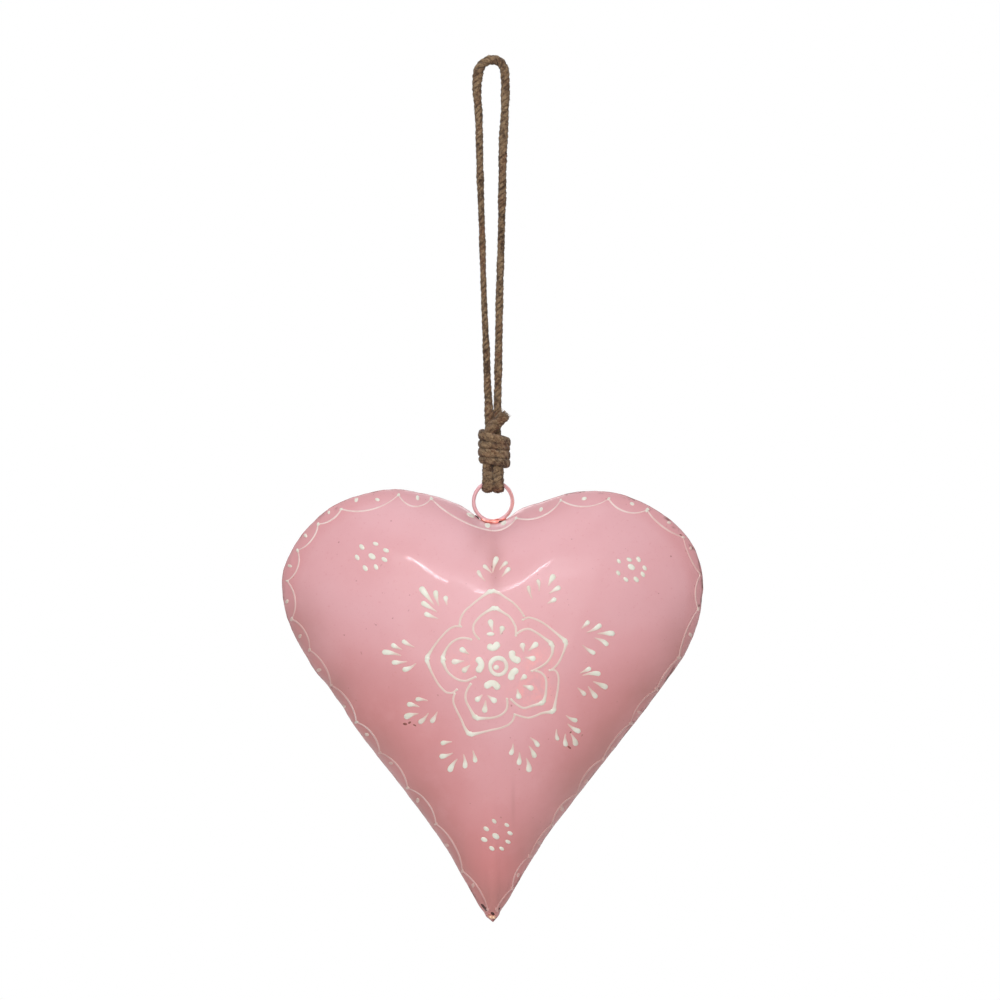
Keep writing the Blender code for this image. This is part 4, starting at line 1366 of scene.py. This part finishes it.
JUTE_WARMTH = (130.0, 3.0, 0.5, 0.68, 0.0, 0.6)
JUTE_FLECKS = (900.0, 3.0, 0.5, 0.66, 0.0, 0.75, 0.6)
JUTE_SPECKS = (1400.0, 2.0, 0.55, 0.66, 0.0, 0.7, 0.6)
JUTE_SHADE = (430.0, 2.0, 0.38, 0.58, 0.25, 1.0)
JUTE_GLOSS = (900.0, 3.0, 0.3, 0.7, 0.82, 0.98)
FLOOR_TONE = (6.0, 3.0, 0.3, 0.7)
PAINT_GLOSS = (60.0, 5.0, 0.3, 0.7)
PAINT_GLOSS_ROUGHNESS = 0.6
PAINT_GLOSS_BELOW = 0.05
PAINT_GLOSS_ABOVE = 0.07
# Ranges kept and given by values that are spread
BLEACH_RANGES = (0.0, 1.0, 1.0, 0.8)
SMEAR_RANGES = (0.0, 1.0, 0.6, 1.0)
DIRT_RANGES = (0.1, 1.0, 0.0, 0.8)
GROOVE_RANGES = (0.9, 0.2)
SKY_RANGES = (-0.5, 0.5)
# Roughness, shine and metal of each finish
SATIN_SHINE = 0.38
COAT_SHARE = 0.73
COAT_ROUGHNESS = 0.08
ENAMEL_ROUGHNESS = 0.48
SEAM_ROUGHNESS = 0.6
SEAM_SHINE = 0.1
RING_ROUGHNESS = 0.28
WELD_ROUGHNESS = 0.42
WELD_METAL = 0.35
BRAZE_METAL = 0.25
JUTE_SHEEN = 0.12
JUTE_SHINE = 0.2
FLOOR_ROUGHNESS = 0.8
# Relief of noise: scale, detail, depth and strength
PAINT_PEEL = (240.0, 2.0, 0.05 * MM, 0.35)
PAINT_RELIEF = (1300.0, 3.0, 0.04 * MM, 0.7)
CREAM_RELIEF = (1300.0, 3.0, 0.03 * MM, 0.3)
IRON_RELIEF = (1600.0, 4.0, 0.05 * MM, 0.6)
WELD_RELIEF = (700.0, 3.0, 0.06 * MM, 0.6)
BRAZE_RELIEF = (650.0, 3.0, 0.12 * MM, 0.5)
JUTE_RELIEF = (7.0, 4.0, 0.4 * MM, 1.0, None, 0.7)
# How coordinates are stretched along each axis
SCUFF_STRETCH = (1.0, 1.0, 0.25)
BRUSH_STRETCH = (1.0, 1.0, 0.7)
LAY_STRETCH = (2.2, 2.2, 0.22)


class Nodes:
    """Short ways to add nodes to a tree. Each gives the new node's output."""

    def __init__(self, tree):
        self.tree = tree

    def feed(self, source, socket):
        """Link a socket, or set a plain value."""
        if isinstance(source, bpy.types.NodeSocket):
            self.tree.links.new(source, socket)
        elif source is not None:
            socket.default_value = source

    def add(self, kind, output, inputs=None, **settings):
        """A node with its settings made and its inputs fed."""
        node = self.tree.nodes.new("ShaderNode" + kind)
        for name, value in settings.items():
            setattr(node, name, value)
        for key, source in (inputs or {}).items():
            self.feed(source, node.inputs[key])
        return node.outputs[output]

    def spread(self, value, low, high, out_low=0.0, out_high=1.0):
        """A value stretched from one range to another, and kept inside it."""
        ends = {"From Min": low, "From Max": high, "To Min": out_low, "To Max": out_high}
        return self.add("MapRange", "Result", {"Value": value, **ends})

    def mixed(self, factor, first, second):
        """Two colours mixed by a factor. The colour sockets of this node share their names."""
        return self.add("Mix", 2, {0: factor, 6: first, 7: second}, data_type="RGBA")

    def combined(self, how, first, second):
        """Two values joined by a sum, product or other rule."""
        return self.add("Math", 0, {0: first, 1: second}, operation=how)

    def product(self, first, second):
        """One value times another."""
        return self.combined("MULTIPLY", first, second)

    def stretched(self, source, stretch):
        """Coordinates stretched along each axis."""
        return self.add("Mapping", "Vector", {"Vector": source, "Scale": stretch})


class Finish(Nodes):
    """A new material, with short ways to make its look."""

    def __init__(self, name):
        self.material = bpy.data.materials.new(name)
        self.material.use_nodes = True
        super().__init__(self.material.node_tree)
        self.place = self.places((1.0, 1.0, 1.0))

    def places(self, stretch):
        """The piece's own places in metres, stretched along each axis."""
        return self.stretched(self.add("TexCoord", "Object"), stretch)

    def kept(self, name, output="Fac"):
        """A value that the mesh keeps for each vertex."""
        return self.add("Attribute", output, attribute_name=name)

    def noise(self, scale, detail, roughness, place):
        """Smooth noise between 0 and 1, at the piece's own places if no other is given."""
        sizes = {"Scale": scale, "Detail": detail, "Roughness": roughness}
        return self.add("TexNoise", "Fac", {"Vector": place or self.place, **sizes})

    def veil(
        self, scale, detail, low, high, out_low=0.0, out_high=1.0, roughness=NOISE_ROUGHNESS, place=None
    ):
        """Noise stretched from one range to another."""
        value = self.noise(scale, detail, roughness, place)
        return self.spread(value, low, high, out_low, out_high)

    def relief(self, scale, detail, depth, strength, below=None, roughness=NOISE_ROUGHNESS, place=None):
        """Relief from noise, with its depth in metres, on top of the relief below."""
        height = self.noise(scale, detail, roughness, place)
        sizes = {"Strength": strength, "Distance": depth, "Normal": below}
        return self.add("Bump", "Normal", {"Height": height, **sizes})

    def with_looks(self, looks):
        """The material, with what each named socket of its shader gets."""
        shader = self.tree.nodes["Principled BSDF"]
        for name, source in looks.items():
            self.feed(source, shader.inputs[name])
        return self.material


def two_tone(name, patches, first, second, gloss, relief=None, metal=0.0):
    """A material of two colours in patches."""
    finish = Finish(name)
    looks = {"Base Color": finish.mixed(finish.veil(*patches), first, second), "Metallic": metal}
    looks["Roughness"] = finish.veil(*gloss) if isinstance(gloss, tuple) else gloss
    looks["Normal"] = finish.relief(*relief) if relief else None
    return finish.with_looks(looks)


def pink_paint(name, gloss, wear, main=PINK, deep=PINK_DEEP, faded=PINK_FADED, shine=SATIN_SHINE):
    """Satin enamel on sheet iron: cloudy colour, dust, stains and wear, with painted shade, a painted
    sheen at the top and on the bulge, and streaky painted sheen spots.
    """
    paint = Finish(name)
    clouds = paint.veil(*PAINT_CLOUDS)
    colour = paint.mixed(clouds, main, deep)
    colour = paint.mixed(paint.veil(*PAINT_HAZE), colour, PINK_PALE)
    # painted sheen: paler, cooler pink at the top and on the bulge
    bleach = paint.product(paint.kept("fade"), paint.spread(clouds, *BLEACH_RANGES))
    colour = paint.mixed(bleach, colour, faded)
    colour = paint.mixed(paint.veil(*PAINT_GRAIN), colour, PINK_DEEP)
    colour = paint.mixed(paint.veil(*PAINT_DUST), colour, RUST)
    # stains and painted shade: darker pink at the smears, along the lower rims, on the seam and in the
    # ring's crease
    smear = paint.product(paint.kept("smear"), paint.spread(clouds, *SMEAR_RANGES))
    colour = paint.mixed(smear, colour, DIRTY_PINK)
    # painted sheen: streaky brighter pink at the sheen spots
    brushed = paint.veil(*PAINT_BRUSHING, paint.places(BRUSH_STRETCH))
    colour = paint.mixed(paint.product(paint.kept("fresh"), brushed), colour, PINK_FRESH)
    scuffs = paint.veil(*PAINT_SCUFFS, paint.places(SCUFF_STRETCH))
    bare = paint.product(paint.product(paint.kept("wear"), wear), scuffs)
    bare = paint.combined("MAXIMUM", bare, paint.kept("rust"))
    ends = (gloss - PAINT_GLOSS_BELOW, gloss + PAINT_GLOSS_ABOVE)
    rough = paint.veil(*PAINT_GLOSS, *ends, PAINT_GLOSS_ROUGHNESS)
    looks = {
        "Base Color": paint.mixed(bare, colour, BARE_IRON),
        "Roughness": paint.combined("ADD", rough, bare),
        "Specular IOR Level": shine,
        "Coat Weight": COAT_SHARE * shine,
        "Coat Roughness": COAT_ROUGHNESS,
        "Normal": paint.relief(*PAINT_RELIEF, paint.relief(*PAINT_PEEL)),
    }
    return paint.with_looks(looks)


def cream_paint(name, main, thinner):
    """Cream paint: slightly thin at places, with a soft shine."""
    paint = Finish(name)
    colour = paint.mixed(paint.veil(*CREAM_THINNING), main, thinner)
    colour = paint.mixed(paint.veil(*CREAM_BLUSH), colour, PINK_PALE)
    colour = paint.mixed(paint.kept("rub"), colour, CREAM_RUBBED)
    # painted shade: the cream lines are darker along the lower rims
    colour = paint.mixed(paint.spread(paint.kept("smear"), *DIRT_RANGES), colour, CREAM_DIRTY)
    looks = {"Base Color": colour, "Roughness": paint.veil(*CREAM_GLOSS)}
    looks["Normal"] = paint.relief(*CREAM_RELIEF)
    return paint.with_looks(looks)


def bare_iron():
    """Rusty sheet where the paint has chipped off."""
    return two_tone("bare_iron", IRON_RUST, BARE_IRON, RUST, IRON_GLOSS, IRON_RELIEF)


def weld_metal():
    """Bare weld metal at the tip: pale, yellowish and dull."""
    colours = (WELD_PALE, WELD_DARK)
    return two_tone("weld_metal", WELD_PATCHES, *colours, WELD_ROUGHNESS, WELD_RELIEF, WELD_METAL)


def dark_gap():
    """The inside of an open spot in the joint, painted dark as shade."""
    return two_tone("dark_gap", SOOT_PATCHES, SOOT, SOOT_PALE, SOOT_GLOSS)


def salmon_braze():
    """Brazing metal under thin paint: shiny, lumpy and redder than the rest."""
    colours = (SALMON, SALMON_PALE)
    return two_tone("salmon_braze", BRAZE_PATCHES, *colours, BRAZE_GLOSS, BRAZE_RELIEF, BRAZE_METAL)


def jute():
    """Dry bast fibre: streaks along the lay, painted shade between the plies, pale loose hairs."""
    fibre = Finish("brown_jute")
    lay = fibre.stretched(fibre.kept("lay", "Vector"), LAY_STRETCH)
    colour = fibre.mixed(fibre.veil(*JUTE_STREAKS, lay), JUTE, JUTE_PALE)
    veils = (
        (JUTE_PATCHES, JUTE_DARK),
        (JUTE_WARMTH, JUTE_WARM),
        (JUTE_FLECKS, JUTE_PALE),
        (JUTE_SPECKS, JUTE_DARK),
    )
    for settings, tint in veils:
        colour = fibre.mixed(fibre.veil(*settings), colour, tint)
    # painted shade in the grooves between the plies
    groove = fibre.spread(fibre.kept("groove"), *GROOVE_RANGES)
    shade = fibre.product(groove, fibre.veil(*JUTE_SHADE))
    looks = {
        "Base Color": fibre.mixed(shade, colour, JUTE_DARK),
        "Roughness": fibre.veil(*JUTE_GLOSS),
        "Sheen Weight": JUTE_SHEEN,
        "Specular IOR Level": JUTE_SHINE,
        "Normal": fibre.relief(*JUTE_RELIEF, lay),
    }
    return fibre.with_looks(looks)


# Stage


def aim(thing, place, target):
    """Put a light or camera at a place, looking at a target."""
    thing.location = place
    way = Vector(target) - Vector(place)
    thing.rotation_euler = way.to_track_quat("-Z", "Y").to_euler()


def add_camera():
    """The photograph's camera, level and square to the seam's plane."""
    data = bpy.data.cameras.new("camera")
    data.lens = LENS
    data.sensor_width = SENSOR
    camera = linked("camera", data)
    aim(camera, (CAMERA_X, -CAMERA_DISTANCE, CAMERA_Z), (CAMERA_X, 0.0, CAMERA_Z))
    bpy.context.scene.camera = camera


HEART_MIDDLE = (0.0, 0.0, -0.24)
PLAIN_LIGHT = (1.0, 1.0, 1.0)
SKY_LIGHT = (0.84, 0.92, 1.0)
TUBE_LIGHT = (0.92, 0.93, 1.0)
LAMPS = (
    # name, place, width, height, power, colour and roll in degrees
    ("front", (-0.02, -1.2, 0.08), 1.25, 1.05, 8.85, PLAIN_LIGHT, 0.0),
    ("overhead", (-0.1, -0.4, 0.75), 0.9, 0.6, 2.6, SKY_LIGHT, 0.0),
    ("strip_left", (-0.2, -0.74, 0.2), 0.19, 0.024, 0.72, TUBE_LIGHT, -24.0),
    ("strip_right", (0.066, -0.74, 0.232), 0.22, 0.018, 0.6, TUBE_LIGHT, 28.0),
    ("strip_ends", (-0.055, -0.74, 0.22), 0.74, 0.05, 0.4, TUBE_LIGHT, 0.0),
    ("back", (-0.2, 1.2, 0.2), 1.2, 1.0, 8.0, PLAIN_LIGHT, 0.0),
)
SKY = (0.23, 0.245, 0.265, 1.0)
GROUND = (0.075, 0.068, 0.06, 1.0)
WHITE = (1.0, 1.0, 1.0, 1.0)
FLOOR_GREYS = ((0.86, 0.86, 0.86, 1.0), (0.9, 0.9, 0.9, 1.0))
FLOOR_GLOW = 0.6
FLOOR_Z = -0.62
FLOOR_HALF_SIZE = 0.7


def seen_directly(nodes):
    """1 for what the camera sees, also in metal and through glass, and 0 for light that spreads."""
    path = nodes.tree.nodes.new("ShaderNodeLightPath")
    seen = path.outputs["Is Camera Ray"]
    for way in ("Is Glossy Ray", "Is Transmission Ray"):
        seen = nodes.combined("MAXIMUM", seen, path.outputs[way])
    return seen


def add_world():
    """White behind the object, and a dimmer room for its light and reflections."""
    world = bpy.data.worlds.new("studio")
    world.use_nodes = True
    nodes = Nodes(world.node_tree)
    height = nodes.add("SeparateXYZ", "Z", {"Vector": nodes.add("TexCoord", "Generated")})
    room = nodes.mixed(nodes.spread(height, *SKY_RANGES), GROUND, SKY)
    background = world.node_tree.nodes["Background"]
    nodes.feed(nodes.mixed(seen_directly(nodes), room, WHITE), background.inputs["Color"])
    bpy.context.scene.world = world


def add_floor():
    """A pale floor far below the hanging heart."""
    half = FLOOR_HALF_SIZE
    corners = [(-half, -half), (half, -half), (half, half), (-half, half)]
    finish = Finish("floor")
    looks = {
        "Base Color": finish.mixed(finish.veil(*FLOOR_TONE), *FLOOR_GREYS),
        "Roughness": FLOOR_ROUGHNESS,
        "Emission Color": WHITE,
        "Emission Strength": finish.product(seen_directly(finish), FLOOR_GLOW),
    }
    mesh = bpy.data.meshes.new("floor")
    mesh.from_pydata([(x, y, FLOOR_Z) for x, y in corners], [], [(0, 1, 2, 3)])
    mesh.materials.append(finish.with_looks(looks))
    linked("floor", mesh)


def add_lights():
    """Rectangular studio lights that look at the heart, each turned about its own line."""
    for name, place, width, height, power, colour, roll_deg in LAMPS:
        data = bpy.data.lights.new(name, "AREA")
        data.shape = "RECTANGLE"
        data.size = width
        data.size_y = height
        data.energy = power
        data.color = colour
        light = linked(name, data)
        aim(light, place, HEART_MIDDLE)
        light.rotation_euler.rotate_axis("Z", math.radians(roll_deg))


# The pieces


def wear_of(vertices):
    """How worn the rim is: only close to the seam, and more on the right and at the tip."""
    places = np.asarray(vertices)
    near_rim = np.clip(1.0 - (np.abs(places[:, 1]) - RIM_HALF_GAP) / WEAR_REACH, 0.0, 1.0)
    right = np.clip(places[:, 0] / WEAR_WIDTH, 0.0, 1.0)
    low = np.clip((WEAR_LOW_START - places[:, 2]) / WEAR_LOW_REACH, 0.0, 1.0)
    return near_rim * np.clip(WEAR_LEFT + WEAR_RIGHT * right + low, 0.0, 1.0)


def settle(piece, body, slot, *nodes):
    """Put a piece on the body that it rides on, and hide the CAD nodes that it replaces. The slot is
    not used.
    """
    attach(piece, body)
    if nodes:
        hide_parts(*nodes)


def fade_of(vertices):
    """How much painted sheen of light from above the paint gets: most at the top and on the middle of
    the bulge.
    """
    places = np.asarray(vertices)
    x = places[:, 0] / MM
    z = places[:, 2] / MM
    from_above = np.clip((z - FADE_TOP_START) / FADE_TOP_REACH, 0.0, 1.0)
    from_above = from_above**2 * (3.0 - 2.0 * from_above)
    from_above *= np.clip(np.abs(places[:, 1]) / FADE_RIM_DEPTH, FADE_RIM_LEAST, 1.0)
    bulge = np.exp(-(((x - FADE_MIDDLE_X) / FADE_HALF_WIDTH) ** 2))
    bulge *= np.clip((z - FADE_LOW_END) / FADE_LOW_REACH, 0.0, 1.0)
    return np.clip(from_above + FADE_BULGE_SHARE * bulge, 0.0, 1.0)


def marks_of(vertices, spots):
    """How strongly soft-edged spots mark the front: 1 in a spot's middle and 0 outside."""
    places = np.asarray(vertices)
    total = np.zeros(len(places))
    for x, z, half_width, half_height, strength in spots:
        across = (places[:, 0] / MM - x) / half_width
        along = (places[:, 2] / MM - z) / half_height
        total += strength * np.exp(-(across**2) - along**2)
    return np.where(places[:, 1] < 0.0, np.clip(total, 0.0, 1.0), 0.0)


def rim_marks(vertices):
    """Rust at pixels of the rim, which lies in the plane of the seam."""
    spots = []
    for x, y, half_width, half_height, strength in RIM_RUST:
        place_x = (CAMERA_X + (x - PICTURE_CENTRE) * PIXEL) / MM
        place_z = (CAMERA_Z - (y - PICTURE_CENTRE) * PIXEL) / MM
        reach = (half_width * PIXEL / MM, half_height * PIXEL / MM)
        spots.append((place_x, place_z, *reach, strength))
    return marks_of(vertices, spots)


def painted_piece(name, shape, material, node, grime=0.0):
    """A painted piece of the heart that stands for one CAD node, darker all over by a given amount if
    asked: dirt and painted shade.
    """
    places = shape[0]
    piece = mesh_piece(name, *shape, material)
    store(
        piece,
        # painted sheen of light from above
        wear=wear_of(places),
        fade=fade_of(places),
        # stains, and painted shade along the lower rims, the seam and the ring's crease
        smear=np.maximum(marks_of(places, SMEARS + RIM_SMEARS), grime),
        # painted sheen spots
        fresh=marks_of(places, FRESH_SPOTS),
        rust=rim_marks(places),
    )
    settle(piece, "heart", "paint", node)


def build_heart():
    """The two shells, the seam, the ring and its brazing metal."""
    enamel = pink_paint("pink_enamel", ENAMEL_ROUGHNESS, 1.0)
    painted_piece("heart_front", shell_shape(1), enamel, "front_shell")
    painted_piece("heart_back", shell_shape(-1), enamel, "back_shell")
    # the weld run's enamel is darker: dirt and painted shade along the seam's edge
    colours = (SEAM_PINK, DIRTY_PINK, SEAM_FADED)
    seam = pink_paint("seam_enamel", SEAM_ROUGHNESS, 1.0, *colours, SEAM_SHINE)
    bead = bead_shape()
    grime = bead_grime(len(bead[0]) // BEAD_SIDES)
    painted_piece("heart_seam_bead", bead, seam, "seam_weld", grime)
    ring, grime = ring_shape()
    unworn = pink_paint("ring_enamel", RING_ROUGHNESS, 0.0)
    painted_piece("heart_ring", ring, unworn, "hanging_ring", grime)
    lump = mesh_piece("heart_ring_braze", *braze_shape(), salmon_braze())
    settle(lump, "heart", "braze", "ring_braze")
    # dark patches of painted shade in the braze's openings
    gaps = mesh_piece("heart_braze_gaps", *gap_shape(), dark_gap())
    settle(gaps, "heart", "braze")


def build_decoration():
    """The folk pattern in raised paint, and the chips in it."""
    cream = cream_paint("cream_paint", CREAM, CREAM_DEEP)
    thin_cream = cream_paint("thin_cream_paint", CREAM_THIN, CREAM_FAINT)
    groups = (
        ("paint_rose", rose_parts(), cream),
        ("paint_sprays", spray_parts(), cream),
        ("paint_dot_flowers", flower_parts(), cream),
        ("paint_border", scallop_parts(), thin_cream),
        ("paint_border_dots", border_dot_parts(), cream),
    )
    for name, parts, material in groups:
        vertices, faces = merge(parts)
        piece = mesh_piece(name, vertices, faces, material)
        rubbed = THIN_RUB * np.concatenate([part[2] for part in parts])
        if name.startswith("paint_border"):
            rubbed = marks_of(vertices, RUBS)
        # painted shade: the cream is darker along the lower rims
        store(piece, smear=marks_of(vertices, RIM_SMEARS), rub=rubbed)
        settle(piece, "heart", "paint")
    chips = (
        ("paint_chips", CHIPS, CHIP_HEIGHT, bare_iron()),
        ("tip_holes", TIP_HOLES, CHIP_HEIGHT, dark_gap()),
        ("tip_metal", TIP_METAL, TIP_METAL_HEIGHT, weld_metal()),
    )
    for name, spots, height, material in chips:
        piece = mesh_piece(name, *merge(chip_parts(spots, height)), material)
        settle(piece, "heart", "paint")


def declare_cord(points):
    """Work out how long the twine is, measured along its own line; the length is not kept."""
    length = float(distances_along(points)[-1])
    tuple(points[0])


def build_loop(material):
    """The hanging loop with its two legs."""
    route = loop_route()
    height = route[:, 2] / MM
    left = np.interp(height, LEG_HEIGHTS, LEFT_LEG_RADII)
    radii = np.where(route[:, 0] < 0.0, left, np.interp(height, LEG_HEIGHTS, RIGHT_LEG_RADII))
    piece, points = twine("jute_loop", route, radii * MM, LOOP_HAIRS, LOOP_STREAM, material)
    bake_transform(piece)
    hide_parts("cord_loop", "cord_throat_left", "cord_throat_right")
    declare_cord(points)


def build_knot(material):
    """The winding and its cut end, pressed flatter where its turns stand out."""
    route = knot_route()
    share = np.linspace(0.0, 1.0, len(route))
    radii = np.interp(share, KNOT_SHARES, KNOT_RADII) * MM
    look = (KNOT_LAY, True)
    piece, points = twine("jute_knot", route, radii, KNOT_HAIRS, KNOT_STREAM, material, *look)
    for vertex in piece.data.vertices:
        away = math.hypot(vertex.co.x - KNOT_SHIFT_X, vertex.co.y)
        if away > WRAP_OUTSIDE and vertex.co.z < WRAP_TOP_Z + WRAP_PITCH:
            kept = (WRAP_OUTSIDE + (away - WRAP_OUTSIDE) * WRAP_OUTSIDE_GIVE) / away
            vertex.co.x = KNOT_SHIFT_X + (vertex.co.x - KNOT_SHIFT_X) * kept
            vertex.co.y *= kept
    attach(piece, "knot")
    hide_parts("cord_wraps", "cord_core", "cord_tail")
    declare_cord(points[::-1])


def build_eyes(material):
    """The two bights through the ring, widened sideways."""
    eyes = (
        ("jute_eye_left", -EYE_BIGHT_X, "cord_eye_left"),
        ("jute_eye_right", EYE_BIGHT_X, "cord_eye_right"),
    )
    for number, (name, x, node) in enumerate(eyes):
        route = eye_route(x)
        radii = np.interp(route[:, 2] / MM, EYE_HEIGHTS, EYE_RADII) * MM
        stream = EYE_STREAM + number
        piece, points = twine(name, route, radii, EYE_HAIRS, stream, material, TIGHT_LAY)
        for vertex in piece.data.vertices:
            vertex.co.x = x + (vertex.co.x - x) * NECK_WIDENING
        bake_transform(piece)
        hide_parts(node)
        declare_cord(points)


def save_sizes():
    """Bring the scene's placements up to date."""
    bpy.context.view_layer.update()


def main():
    add_camera()
    add_world()
    add_floor()
    add_lights()
    cord = jute()
    build_loop(cord)
    build_knot(cord)
    build_eyes(cord)
    build_heart()
    build_decoration()
    bpy.context.scene.view_settings.view_transform = "Standard"
    save_sizes()


main()
